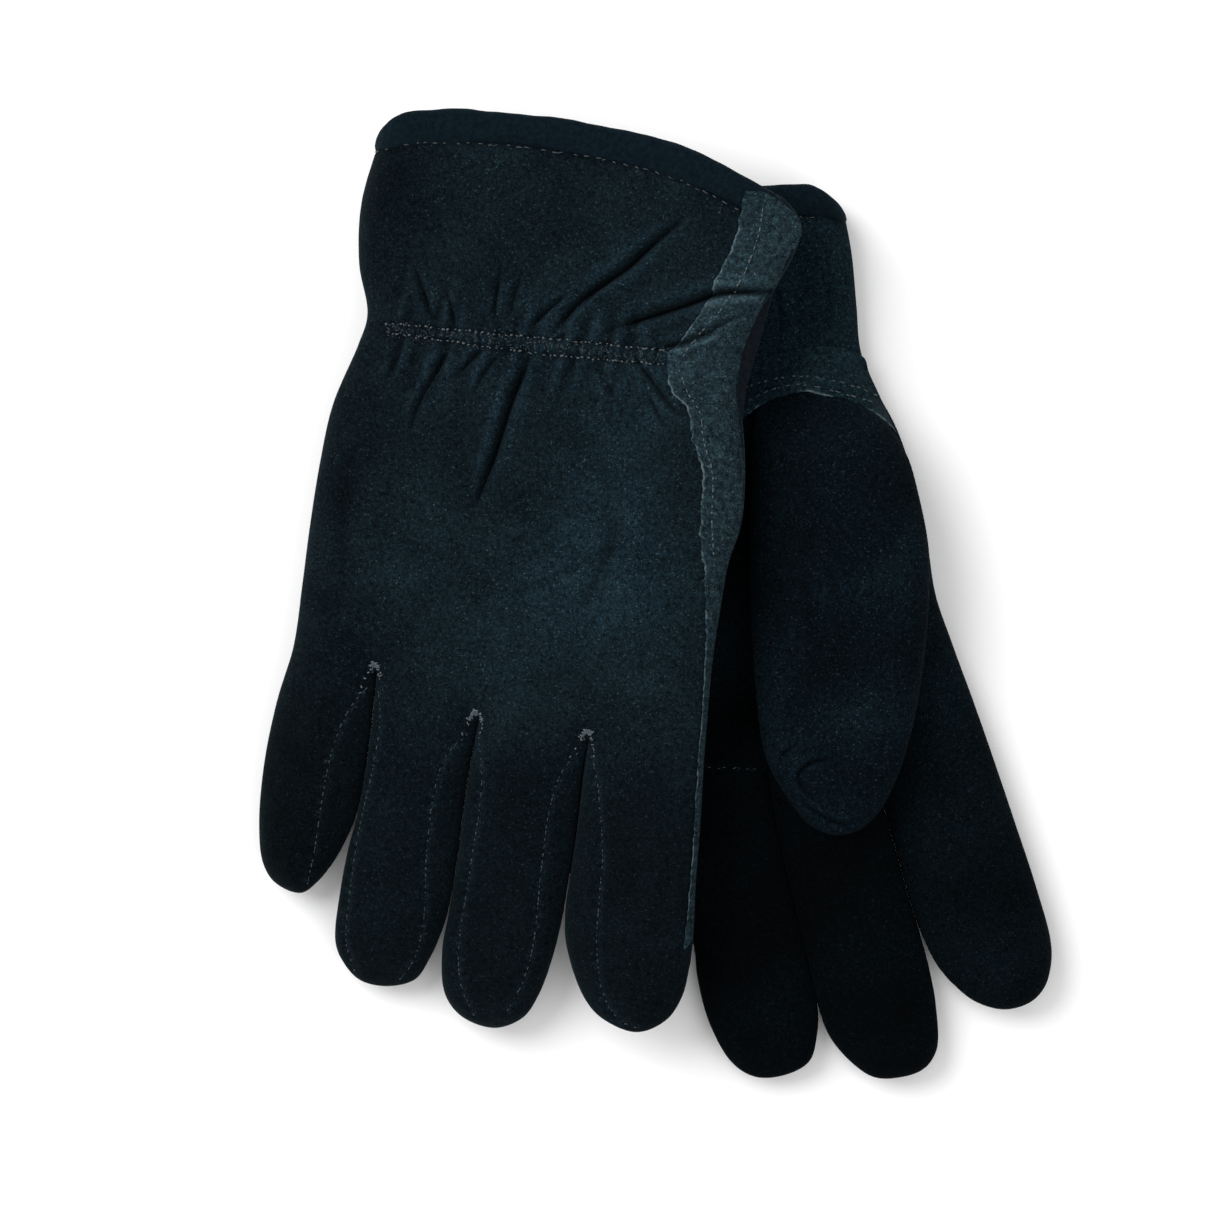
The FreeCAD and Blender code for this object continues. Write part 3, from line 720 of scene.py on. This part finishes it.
def pouch(glove, outline, base, full, creases, radius):
    """The thumb's closed pouch, flattened at its root, as verts, faces and tone."""
    edge = curve(outline, 0.9, closed=True)[:-1]
    closed_edge = np.vstack([edge, edge[:1]])

    def upper(xy):
        fullness = rounded(np.clip(nearest(xy, closed_edge)[0] / radius, 0, 1))
        relief = valleys(xy, creases) + 0.3 * waves(xy, 18, 41) + 0.1 * waves(xy, 6, 42)
        rise = 0.06 + 0.94 * smoothstep(-7, -34, xy[:, 1]) ** 0.7
        return base + rise * (full * 0.42 + full * 0.58 * fullness + relief * smoothstep(0, 0.8, fullness))

    def lower(xy):
        share = np.clip(nearest(xy, closed_edge)[0] / (radius * 0.7), 0, 1)
        rise = 0.04 + 0.96 * smoothstep(-7, -34, xy[:, 1])
        return base + rise * full * 0.42 * (1 - rounded(share))

    flat, tris = triangulate(edge, EDGE_ROWS, 1.25, fine_lines([], creases))
    on_edge = nearest(flat, closed_edge)[0] < ON_EDGE
    top = np.column_stack([flat, upper(flat)])
    bottom = np.column_stack([flat, lower(flat)])
    bottom[:, 2] = np.minimum(bottom[:, 2], top[:, 2])
    top[on_edge, 2] = bottom[on_edge, 2] = (top[on_edge, 2] + bottom[on_edge, 2]) / 2
    verts, faces = sewn_faces(glove, top, bottom, on_edge, tris)
    tone = 0.8 + 0.2 * waves(flat, 18, 84) + 0.25 * smoothstep(-60, -118, flat[:, 1])
    # Painted shade in the thumb's creases and painted light on their ridges.
    tone *= np.exp(0.5 * np.clip(valleys(flat, creases), -1.2, 0.8))
    return verts, faces, np.r_[tone, tone]


def stitch(start, end, up, radius, arch):
    """One thread stitch from start to end as a bent capsule: verts and faces."""
    way = end - start
    length = np.linalg.norm(way)
    way = way / length
    side = np.cross(way, up)
    side /= np.linalg.norm(side)
    up = np.cross(side, way)
    verts, faces = [], []
    spots = ((0.0, 0.25, -0.9), (0.12, 0.8, 0.1), (0.5, 1.0, 1.0), (0.88, 0.8, 0.1), (1.0, 0.25, -0.9))
    for along, size, rise in spots:
        middle = start + way * length * along + up * arch * rise
        for i in range(6):
            angle = math.tau * i / 6
            verts.append(middle + (side * math.cos(angle) + up * math.sin(angle)) * radius * size)
    for ring in range(4):
        for i in range(6):
            j = (i + 1) % 6
            faces.append((ring * 6 + i, ring * 6 + j, ring * 6 + 6 + j, ring * 6 + 6 + i))
    faces.append(tuple(range(5, -1, -1)))
    faces.append(tuple(range(24, 30)))
    return np.array(verts), faces


class Threads:
    """Stitches gathered into one mesh for each body they ride on."""

    def __init__(self):
        self.found = {}

    def add(self, key, verts, faces):
        all_verts, all_faces = self.found.setdefault(key, ([], []))
        base = sum(len(v) for v in all_verts)
        all_verts.append(verts)
        all_faces.extend(tuple(base + i for i in face) for face in faces)

    def row(
        self, glove, face, points, pitch=3.0, share=0.68, radius=0.27, lift=0.12, surface=None, loose=0.0
    ):
        """Stitches along a line through the points. loose sets how uneven they are."""
        line = curve(points, 0.3)
        total = np.linalg.norm(np.diff(line, axis=0), axis=1).sum()
        count = int(total / pitch)
        jitter = rng.uniform(-0.12 - 0.25 * loose, 0.12 + 0.25 * loose, (count, 2))
        starts = (np.arange(count) + 0.5 * (1 - share) + jitter[:, 0]) / count
        ends = starts + share / count + jitter[:, 1] * 0.5 / count
        steps = np.linspace(0, 1, len(line))
        spots = [along_line(line, steps, t) for t in (starts, ends)]
        if surface is None:
            heads, tails = (glove.point(places, face, lift) for places in spots)
        else:
            heads, tails = (np.column_stack([places, surface(places) + lift]) for places in spots)
        if loose:
            shift = rng.uniform(-0.3, 0.3, (2, count)) * loose
            heads[:, 1] += shift[0]
            tails[:, 1] += shift[1]
        fingers = glove.finger_of(spots[0])
        heads, tails = glove.to_row(heads), glove.to_row(tails)
        up = glove.matrix @ np.array([0, 0, float(face)])
        sizes = radius * (1 + loose * rng.uniform(-0.4, 0.5, count))
        for head, tail, finger, size in zip(heads, tails, fingers, sizes):
            verts, faces = stitch(head, tail, up, size * MM, size * 0.9 * MM)
            self.add(int(finger), verts, faces)

    def flecks(self, glove, places, size=0.18):
        """Loose fibres lying any way on the upper face, one at each place."""
        places = np.asarray(places, float)
        angles = rng.uniform(0, math.pi, len(places))
        reach = rng.uniform(0.25, 0.5, len(places))
        ways = np.stack([np.cos(angles), np.sin(angles)], axis=1) * reach[:, None]
        heads, tails = (glove.to_row(glove.point(places + way, 1, 0.08)) for way in (ways, -ways))
        up = glove.matrix @ np.array([0, 0, 1.0])
        sizes = size * rng.uniform(0.6, 1.4, len(places))
        for head, tail, finger, radius in zip(heads, tails, glove.finger_of(places), sizes):
            verts, faces = stitch(head, tail, up, radius * MM, radius * 0.9 * MM)
            self.add(int(finger), verts, faces)

    def pieces(self, name, material):
        """One mesh for the hand, under key 0, and one for each finger."""
        made = {}
        for key, (verts, faces) in self.found.items():
            place = FINGERS[key - 1] + "_" if key else ""
            made[key] = make_mesh(f"{name}_{place}stitching", np.vstack(verts), faces, material)
        return made


def mouth_loop(glove, y_of, inset=0.0):
    """The glove's cross-section at the cuff, as a closed loop of local points and their outward ways.
    y_of gives y for x and face."""
    left, right = glove.hem[-1][0], glove.hem[0][0]
    t = np.linspace(0, math.pi, 90)
    x = (left + right) / 2 - (right - left) / 2 * np.cos(t)
    x = np.r_[x, x[-2:0:-1]]
    face = np.r_[np.ones(90), -np.ones(88)]
    y = y_of(x, face)
    share = (x - left) / (right - left)
    half = np.interp(share, (0, 1), glove.edge_thickness) / 2 * np.interp(y, SHARE_Y, SHARE)
    gap = np.minimum(x - left, right - x)
    full = rounded(np.clip(gap / 9.0, 0, 1))
    z = half + face * half * full
    loop = np.column_stack([x, y, z])
    way = np.roll(loop, -1, axis=0) - np.roll(loop, 1, axis=0)
    out = np.column_stack([-way[:, 2], np.zeros(len(loop)), way[:, 0]])
    out /= np.linalg.norm(out, axis=1)[:, None]
    return loop + out * inset, out


def tube(loops):
    """Verts and faces of a surface through closed loops of equal length."""
    count = len(loops[0])
    faces = []
    for ring in range(len(loops) - 1):
        for i in range(count):
            j = (i + 1) % count
            here, there = ring * count, (ring + 1) * count
            faces.append((here + i, here + j, there + j, there + i))
    return np.vstack(loops), faces


def binding(glove, material, name):
    """The bound mouth: a padded band that wraps over the cuff's edge to its inside."""
    hem = glove.hem_line[::-1]

    def level(share):
        def y_of(x, face):
            lower = np.interp(x, hem[:, 0], hem[:, 1])
            middle = (glove.hem[0][0] + glove.hem[-1][0]) / 2
            half = (glove.hem[0][0] - glove.hem[-1][0]) / 2
            corner = np.clip((np.abs(x - middle) / half - 0.85) / 0.15, 0, 1)
            ends = 0.3 + 0.7 * np.sqrt(1 - corner**2)
            back = np.where(face < 0, -1.5 * smoothstep(1.0, 0.6, np.abs(x - middle) / half), 0)
            return lower + share * BAND * ends + back * share
        return y_of

    profile = (
        (-0.12, -1.9), (-0.1, -0.6), (0.0, -0.25), (0.12, 0.15), (0.35, 0.42), (0.65, 0.38), (0.86, 0.1),
        (0.96, -0.5), (1.0, -1.4), (0.96, -2.3), (0.85, -2.9), (0.5, -3.2), (0.1, -3.3), (-0.1, -3.0),
    )
    loops = []
    for share, lift in profile:
        loop, _ = mouth_loop(glove, level(share), lift)
        around = loop[:, [0, 2]] * (1, 0.3)
        ripple = 0.1 * waves(around, 5, 51) + 0.15 * waves(around, 16, 52)
        loop[:, 1] += ripple * max(share, 0)
        loops.append(glove.to_row(loop))
    verts, faces = tube(loops)
    return make_mesh(name, verts, faces, material)


def lining(glove, material, name):
    """The pile lining inside the cuff and hand, closed at the knuckles."""
    hem = glove.hem_line[::-1]
    loops = []
    for drop in (-2.0, 2.0, 8.0, 16.0, 28.0, 44.0, 64.0, 90.0, 120.0, 138.0):
        def y_of(x, face, drop=drop):
            return np.interp(x, hem[:, 0], hem[:, 1]) - drop
        loop, out = mouth_loop(glove, y_of, -WALL)
        middle = loop.mean(0)
        narrow = np.interp(drop, (0, 45, 70, 138), (1.0, 0.9, 0.93, 0.95))
        loop[:, 0] = middle[0] + (loop[:, 0] - middle[0]) * narrow
        loops.append(glove.to_row(loop))
    verts, faces = tube(loops)
    count = len(loops[0])
    faces.append(tuple(range(len(verts) - count, len(verts))))
    return make_mesh(name, verts, faces, material)


def overlay(glove, inner, outer, thickness, height, shade=None, across=10):
    """A strip of leather laid over the glove between two lines, with a pale raw edge along the inner one.
    height gives its surface, and shade multiplies its tone with painted light and shade. Returns verts,
    faces and tone."""
    count = int(np.linalg.norm(np.diff(inner, axis=0), axis=1).sum() / 0.6)
    a, b = (resample(line, 0.3) for line in (inner, outer))
    steps = np.linspace(0, 1, count)
    a, b = (along_line(line, np.linspace(0, 1, len(line)), steps) for line in (a, b))
    way = b - a
    wide = np.linalg.norm(way, axis=1)[:, None]
    way /= np.maximum(wide, 0.2)
    a = a + way * (0.2 * waves(a, 2.2, 61) + 0.14 * waves(a, 0.8, 62))[:, None]
    fray = np.clip(0.75 + 0.4 * waves(a, 9.0, 64) + 0.35 * waves(a, 1.2, 65), 0.3, 1.5)
    share_of = [(0.0, -0.4, 1.0), (0.0, 0.7, 3.6 * fray), (0.32, 1.0, 2.8 * fray), (0.75, 1.0, 1.1)]
    columns = [(a + way * np.minimum(step, wide), thickness * lift, tone) for step, lift, tone in share_of]
    for i in range(1, across + 1):
        spots = a + (b - a) * np.maximum(i / across, np.minimum(0.95 / np.maximum(wide, 0.01), 1))
        columns.append((spots, thickness * (1 - 0.4 * (i / across) ** 3), 1.0))
    rows, tones = [], []
    for spots, lift, tone in columns:
        rows.append(glove.to_row(np.column_stack([spots, height(spots) + lift])))
        tones.append(tone * (1 + 0.25 * waves(spots, 1.1, 63)) * (1 if shade is None else shade(spots)))
    faces = []
    for col in range(len(rows) - 1):
        for i in range(count - 1):
            here, there = col * count + i, (col + 1) * count + i
            faces.append((here, here + 1, there + 1, there))
    return np.vstack(rows), faces, np.concatenate(tones)


# ---------------------------------------------------------------- materials


class Nodes:
    """A short way to build a node material."""

    def __init__(self, name):
        self.material = bpy.data.materials.new(name)
        self.material.use_nodes = True
        self.tree = self.material.node_tree
        self.shader = self.tree.nodes["Principled BSDF"]

    def add(self, kind, **sockets):
        node = self.tree.nodes.new(kind)
        for key, value in sockets.items():
            if hasattr(node, key):
                setattr(node, key, value)
            else:
                node.inputs[key.replace("_", " ")].default_value = value
        return node

    def surface(self, **sockets):
        """Set the shader's own sockets."""
        for key, value in sockets.items():
            self.shader.inputs[key.replace("_", " ")].default_value = value

    def link(self, source, target):
        self.tree.links.new(source, target)

    def noise(self, scale, detail=3.0, rough=0.6, distort=0.0):
        if not hasattr(self, "place"):
            self.place = self.add("ShaderNodeTexCoord").outputs["Object"]
        values = dict(Scale=scale, Detail=detail, Roughness=rough, Distortion=distort)
        node = self.add("ShaderNodeTexNoise", **values)
        self.link(self.place, node.inputs["Vector"])
        return node.outputs["Fac"]

    def ramp(self, source, stops):
        node = self.add("ShaderNodeValToRGB")
        ramp = node.color_ramp
        while len(ramp.elements) < len(stops):
            ramp.elements.new(0.5)
        for element, (where, colour) in zip(ramp.elements, stops):
            element.position = where
            element.color = (*colour, 1) if len(colour) == 3 else colour
        self.link(source, node.inputs["Fac"])
        return node.outputs["Color"]

    def mix(self, factor, a, b, kind="MIX"):
        node = self.add("ShaderNodeMix", data_type="RGBA", blend_type=kind)
        for socket, value in ((node.inputs[0], factor), (node.inputs[6], a), (node.inputs[7], b)):
            if hasattr(value, "links"):
                self.link(value, socket)
            else:
                socket.default_value = value if isinstance(value, float) else (*value, 1)
        return node.outputs[2]

    def bump(self, layers):
        normal = None
        for source, strength, distance in layers:
            node = self.add("ShaderNodeBump", Strength=strength, Distance=distance)
            self.link(source, node.inputs["Height"])
            if normal:
                self.link(normal, node.inputs["Normal"])
            normal = node.outputs["Normal"]
        self.link(normal, self.shader.inputs["Normal"])


RAW_FIBRE = (0.085, 0.118, 0.13)


def suede(name, dark, light, sheen=0.05, tint=(0.35, 0.55, 0.65)):
    """Napped split suede: brushed patches over a fine fibrous grain, times the mesh's tone, which carries
    painted light and shade.
    """
    nodes = Nodes(name)
    patches = nodes.noise(48, 4, 0.62, 0.6)
    nap = nodes.noise(900, 4, 0.75, 0.3)
    grain = nodes.noise(2600, 2, 0.7)
    fleck = nodes.noise(1500, 1, 0.5)
    tone = nodes.ramp(patches, [(0.3, dark), (0.72, light)])
    napped = nodes.ramp(nap, [(0.34, (0.3, 0.3, 0.3)), (0.68, (1.75, 1.75, 1.75))])
    tone = nodes.mix(1.0, tone, napped, "MULTIPLY")
    fibres = nodes.ramp(grain, [(0.32, (0.4, 0.4, 0.4)), (0.68, (1.65, 1.65, 1.65))])
    tone = nodes.mix(1.0, tone, fibres, "MULTIPLY")
    bright = nodes.ramp(fleck, [(0.64, (0, 0, 0)), (0.8, (1, 1, 1))])
    pale = tuple(min(c * 3 + 0.012, 1) for c in light)
    tone = nodes.mix(bright, tone, pale)
    # The mesh's tone attribute multiplies in painted light and shade.
    shade = nodes.add("ShaderNodeAttribute", attribute_name="tone").outputs["Fac"]
    tone = nodes.mix(1.0, tone, shade, "MULTIPLY")
    raw = nodes.add("ShaderNodeAttribute", attribute_name="raw").outputs["Fac"]
    tone = nodes.mix(raw, tone, RAW_FIBRE)
    nodes.link(tone, nodes.shader.inputs["Base Color"])
    nodes.surface(Roughness=0.92, Specular_IOR_Level=0.03)
    nodes.surface(Sheen_Weight=sheen, Sheen_Roughness=0.45, Sheen_Tint=(*tint, 1))
    nodes.bump([(nodes.noise(150, 3, 0.6, 0.4), 0.25, 0.0012), (nap, 0.5, 0.0006), (grain, 0.55, 0.0003)])
    return nodes.material


def pile(name, dark, light):
    """Knitted fleece or pile."""
    nodes = Nodes(name)
    tufts = nodes.noise(700, 3, 0.7, 0.5)
    tone = nodes.ramp(tufts, [(0.3, dark), (0.75, light)])
    nodes.link(tone, nodes.shader.inputs["Base Color"])
    nodes.surface(Roughness=0.97, Specular_IOR_Level=0.03)
    nodes.surface(Sheen_Weight=0.05, Sheen_Tint=(0.4, 0.55, 0.65, 1))
    nodes.bump([(nodes.noise(260, 3, 0.6), 0.5, 0.0014), (tufts, 0.7, 0.0008)])
    return nodes.material


def thread(name, colour):
    nodes = Nodes(name)
    strands = nodes.noise(2600, 2, 0.5)
    tone = nodes.ramp(strands, [(0.3, tuple(c * 0.6 for c in colour)), (0.7, colour)])
    nodes.link(tone, nodes.shader.inputs["Base Color"])
    nodes.surface(Roughness=0.7)
    nodes.bump([(strands, 0.6, 0.0002)])
    return nodes.material


SUEDE_BACK = suede("suede_back", (0.0022, 0.0056, 0.0082), (0.005, 0.0113, 0.0154))
SUEDE_DARK = suede("suede_dark", (0.0013, 0.0044, 0.0066), (0.0032, 0.0086, 0.0122), sheen=0.01)
SUEDE_THUMB = suede("suede_thumb", (0.0009, 0.0028, 0.0044), (0.0021, 0.0057, 0.0085), sheen=0.01)
SUEDE_LAP = suede("suede_lap", (0.0026, 0.0078, 0.011), (0.0058, 0.0146, 0.0198), sheen=0.02)
SUEDE_EDGE = suede("suede_edge", (0.0058, 0.0126, 0.0164), (0.013, 0.0252, 0.0316), sheen=0.04)
PILE = pile("pile", (0.0009, 0.0034, 0.0056), (0.0036, 0.0088, 0.0132))
PILE_INNER = pile("pile_inner", (0.002, 0.003, 0.0045), (0.006, 0.0085, 0.0115))
THREAD = thread("thread_light", (0.075, 0.1, 0.11))
THREAD_DARK = thread("thread_dark", (0.036, 0.05, 0.06))
THREAD_SEAM = thread("thread_seam", (0.02, 0.032, 0.038))


# ---------------------------------------------------------------- pieces


LINING_NODES = ("hand_lining", "finger_linings", "wrist_elastic")


def hold(piece, glove, key):
    """The piece rides with the hand, or, on a finger, stays in place with its transform baked into its
    mesh.
    """
    if not key:
        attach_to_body(piece, f"{glove.name}_hand")
        return
    finger = FINGERS[key - 1]
    start, end = glove.hinge(finger)
    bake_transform(piece)


def stand_for(piece, slot, *nodes):
    real = [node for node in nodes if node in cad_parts]
    if real:
        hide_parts(*real)


def tip_nodes(side, finger):
    return [f"{side}_{finger}_tip_{layer}" for layer in ("back", "front", "fourchette", "lining")]


def thumb_nodes(side):
    return [f"{side}_thumb_{layer}" for layer in ("front", "back", "lining")]


def build_skin(glove, upper_material, lower_material, lines=()):
    side = glove.name
    upper_name, lower_name = ("back", "palm") if glove.back_up else ("palm", "back")
    nodes_of = {
        "back": ("back_panel", "cuff_back"),
        "palm": ("palm_panel", "cuff_palm", "middle_ring_front", "fourchettes"),
    }
    for key, (verts, faces, normals, tone) in skin(glove, lines).items():
        finger = key // 2
        if key == STRIP:
            piece = make_mesh(f"{side}_side_strip_lower", verts, faces, SUEDE_EDGE, normals, tone)
            ride_hand(piece, glove, "suede_edge", f"{side}_side_strip")
            continue
        if finger:
            name = f"{side}_{FINGERS[finger - 1]}_finger"
            piece = make_mesh(name, verts, faces, upper_material, normals, tone)
            hold(piece, glove, finger)
            stand_for(piece, "suede", *tip_nodes(side, FINGERS[finger - 1]))
            continue
        layer = lower_name if key == 1 else upper_name
        material = lower_material if key == 1 else upper_material
        piece = make_mesh(f"{side}_{layer}", verts, faces, material, normals, tone)
        ride_hand(piece, glove, "suede", *(f"{side}_{node}" for node in nodes_of[layer]))


def fine_lines(seams, folds, rows=()):
    """Where the skin's mesh is finer, as lines and the rows of points beside them."""
    found = [(curve(seam, 0.8), (-1.1, -0.6, -0.2, 0.2, 0.6, 1.1)) for seam in seams]
    shares = (-1.3, -0.7, -0.3, 0, 0.3, 0.7, 1.3)
    for _, width, points in folds:
        found.append((curve(points, 0.8), tuple(width * share for share in shares)))
    found += [(curve(row, 0.55), (-1.6, -0.9, -0.4, 0, 0.4, 0.9, 1.6)) for row in rows]
    return found


def attach(threads, glove, name, material):
    for key, piece in threads.pieces(name, material).items():
        hold(piece, glove, key)


def ride_hand(piece, glove, slot, *nodes):
    """The piece rides with its hand and stands for the nodes."""
    hold(piece, glove, 0)
    stand_for(piece, slot, *nodes)


def build_mouth(glove):
    """The binding round the cuff's mouth and the lining that shows inside it."""
    side = glove.name
    band = binding(glove, PILE, f"{side}_cuff_binding_band")
    ride_hand(band, glove, "binding", f"{side}_cuff_binding")
    inner = lining(glove, PILE_INNER, f"{side}_lining")
    ride_hand(inner, glove, "lining", *(f"{side}_{layer}" for layer in LINING_NODES))


def tack(threads, glove, x, y):
    """A bar tack at a crotch: crowded fibres in an arch, thickest at its top."""
    t = rng.normal(0, 0.5, 60)
    places = np.column_stack([x + 2.4 * t, y + 1.3 - 4.6 * t**2])
    threads.flecks(glove, places + rng.normal(0, 0.35, places.shape), 0.22)


def build_right():
    glove = Glove(RIGHT, back_relief, hidden_relief, back_tone_and_shade)
    folds = [fold for fold in BACK_FOLDS if fold[0] > 0.6]
    build_skin(glove, SUEDE_BACK, SUEDE_DARK, fine_lines(BACK_SEAMS, folds, ELASTIC_ROWS))

    build_mouth(glove)

    sewn = glove.sewn
    first = np.argmin(np.linalg.norm(sewn - STRIP_END, axis=1))
    last = np.argmin(np.abs(sewn[:, 1] - TAB_Y) - sewn[:, 0])
    outer = np.vstack([curve(TAB_EDGE, 0.8), sewn[first:last][::-1]])
    # fold_shade paints the folds' light and shade onto the strip too.
    verts, faces, tone = overlay(glove, curve(STRIP_EDGE, 0.6), outer, 0.8, strip_height(glove), fold_shade)
    strip = make_mesh("right_side_strip_upper", verts, faces, SUEDE_EDGE, tone=tone)
    hold(strip, glove, FINGERS.index("index") + 1)
    stand_for(strip, "suede_edge", "right_side_strip")

    threads = Threads()
    for row in ELASTIC_ROWS:
        threads.row(glove, 1, row, pitch=1.6, share=0.42, radius=0.22, loose=1.0)
    fuzz = np.column_stack([rng.uniform(-47, 33, 260), rng.normal(0, 1.6, 260)])
    upper_x, upper_y = np.transpose(ELASTIC_ROWS[0])
    fuzz[:, 1] += np.interp(fuzz[:, 0], upper_x, upper_y - 1.8)
    seam_threads = Threads()
    seam_threads.flecks(glove, fuzz, 0.12)
    for seam in BACK_SEAMS:
        seam_threads.row(glove, 1, seam, pitch=1.9, share=0.5, radius=0.16, lift=0.05, loose=1.0)
    hem_row = [(x, y - 0.6) for x, y in RIGHT["hem"][1:]]
    seam_threads.row(glove, 1, hem_row, share=0.45, radius=0.16, loose=1.0)
    attach(seam_threads, glove, "right_seam", THREAD_SEAM)
    height = strip_height(glove)
    cuff_row = [
        (54.6, 47.8), (54.3, 40.0), (52.4, 30.5), (51.0, 25.8), (46.0, 16.0), (40.5, 8.0), (37.6, 2.0),
    ]
    hand_row = [
        (38.0, -2.5), (40.4, -7.0), (45.0, -12.5), (47.4, -20.0), (51.2, -29.0), (53.0, -42.0),
        (54.8, -52.0),
    ]
    for row in (cuff_row, hand_row):
        threads.row(glove, 1, row, pitch=1.9, share=0.55, radius=0.19, lift=0.85, surface=height, loose=0.8)
    for x, y in TACKS:
        tack(threads, glove, x, y)
    attach(threads, glove, "right", THREAD)

    verts, faces, tone = pouch(glove, RIGHT_THUMB_OUTLINE, -8.4, 8.0, [], 6.0)
    under = make_mesh("right_thumb", verts, faces, SUEDE_DARK, tone=tone)
    ride_hand(under, glove, "suede", *thumb_nodes("right"))
    return glove


def strip_height(glove):
    """The side strip's own surface: the skin, or the binding where the strip's tab covers it."""
    hem = np.array(glove.hem[::-1])

    def height(xy):
        past_hem = xy[:, 1] - np.interp(xy[:, 0], hem[:, 0], hem[:, 1])
        level = np.column_stack([np.minimum(xy[:, 0], 55.0), xy[:, 1]])
        tab = glove.height(level, 1) - 0.018 * np.maximum(xy[:, 0] - 55.0, 0) ** 2
        share = smoothstep(24, 36, xy[:, 1])
        skin_z = glove.height(xy, 1)
        return skin_z + share * np.maximum(tab - skin_z, 0) + 0.55 * smoothstep(-2.5, 1.0, past_hem)

    return height


def lap_height(glove, base):
    """The surface of the cuff's lap, which climbs off the palm onto the thumb's root."""
    edge, outer = curve(LAP_EDGE, 0.8), curve(LAP_OUTER, 0.8)

    def height(xy):
        to_edge, to_outer = nearest(xy, edge)[0], nearest(xy, outer)[0]
        climb = smoothstep(0, 1, to_outer / np.maximum(to_edge + to_outer, 0.01))
        skin_z = glove.height(xy, 1)
        return skin_z + climb * np.maximum(base + 0.9 - skin_z, 0)

    return height


def build_left():
    glove = Glove(LEFT, palm_relief, hidden_relief, palm_tone_and_shade)
    build_skin(glove, SUEDE_DARK, SUEDE_DARK, fine_lines(PALM_SEAMS, PALM_FOLDS))

    build_mouth(glove)

    base = LEFT["edge_thickness"][1] + 0.4
    verts, faces, tone = pouch(glove, THUMB_OUTLINE, base, 12.5, THUMB_CREASES, 13.0)
    thumb = make_mesh("left_thumb_suede", verts, faces, SUEDE_THUMB, tone=tone)
    spots = glove.to_row(np.array([[61.6, -50.0, base], [52.0, -50.0, base]]))
    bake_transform(thumb)
    stand_for(thumb, "suede", *thumb_nodes("left"))

    height = lap_height(glove, base)
    verts, faces, tone = overlay(glove, curve(LAP_EDGE, 0.6), curve(LAP_OUTER, 0.6), 0.7, height)
    lap = make_mesh("left_cuff_lap", verts, faces, SUEDE_LAP, tone=tone)
    ride_hand(lap, glove, "suede")

    threads = Threads()
    for row in LAP_ROWS:
        threads.row(glove, 1, row, pitch=2.3, share=0.55, radius=0.22, lift=0.75, surface=height, loose=0.8)
    hem_row = [(x, y - 0.6) for x, y in LEFT["hem"][1:]]
    threads.row(glove, 1, hem_row, share=0.4, radius=0.13, loose=1.0)
    for seam in PALM_SEAMS:
        threads.row(glove, 1, seam, pitch=2.2, share=0.45, radius=0.12, lift=0.02, loose=1.0)
    attach(threads, glove, "left", THREAD_DARK)
    return glove


build_right()
build_left()


# ---------------------------------------------------------------- stage, light and camera


def plain(name, colour, roughness):
    nodes = Nodes(name)
    nodes.surface(Base_Color=(*colour, 1), Roughness=roughness, Specular_IOR_Level=0.1)
    return nodes.material


corners = [(x, y, -0.0002) for x, y in ((-3, -3), (3, -3), (3, 3), (-3, 3))]
floor = make_mesh("floor", corners, [(0, 1, 2, 3)], plain("floor", (0.93, 0.93, 0.93), 0.8))


def area_light(name, place, aim, size, power):
    lamp = bpy.data.lights.new(name, "AREA")
    lamp.shape = "DISK"
    lamp.size = size
    lamp.energy = power
    piece = bpy.data.objects.new(name, lamp)
    piece.location = place
    piece.rotation_euler = (Vector(aim) - Vector(place)).to_track_quat("-Z", "Y").to_euler()
    bpy.context.scene.collection.objects.link(piece)


area_light("key", (-1.0, 0.75, 1.15), (0, 0, 0), 1.5, 27)
area_light("fill", (0.9, -0.5, 1.4), (0, 0, 0), 1.4, 5)
world = bpy.data.worlds.new("studio")
world.use_nodes = True
world.node_tree.nodes["Background"].inputs["Color"].default_value = (1, 1, 1, 1)
world.node_tree.nodes["Background"].inputs["Strength"].default_value = 0.75
bpy.context.scene.world = world
bpy.context.scene.view_settings.view_transform = "Standard"

camera = bpy.data.cameras.new("camera")
camera.sensor_width = 36
camera.lens = 36 * 2.285 / 0.346
camera.clip_end = 20
eye = bpy.data.objects.new("camera", camera)
eye.location = (-0.0133, -0.0039, 2.3)
bpy.context.scene.collection.objects.link(eye)
bpy.context.scene.camera = eye
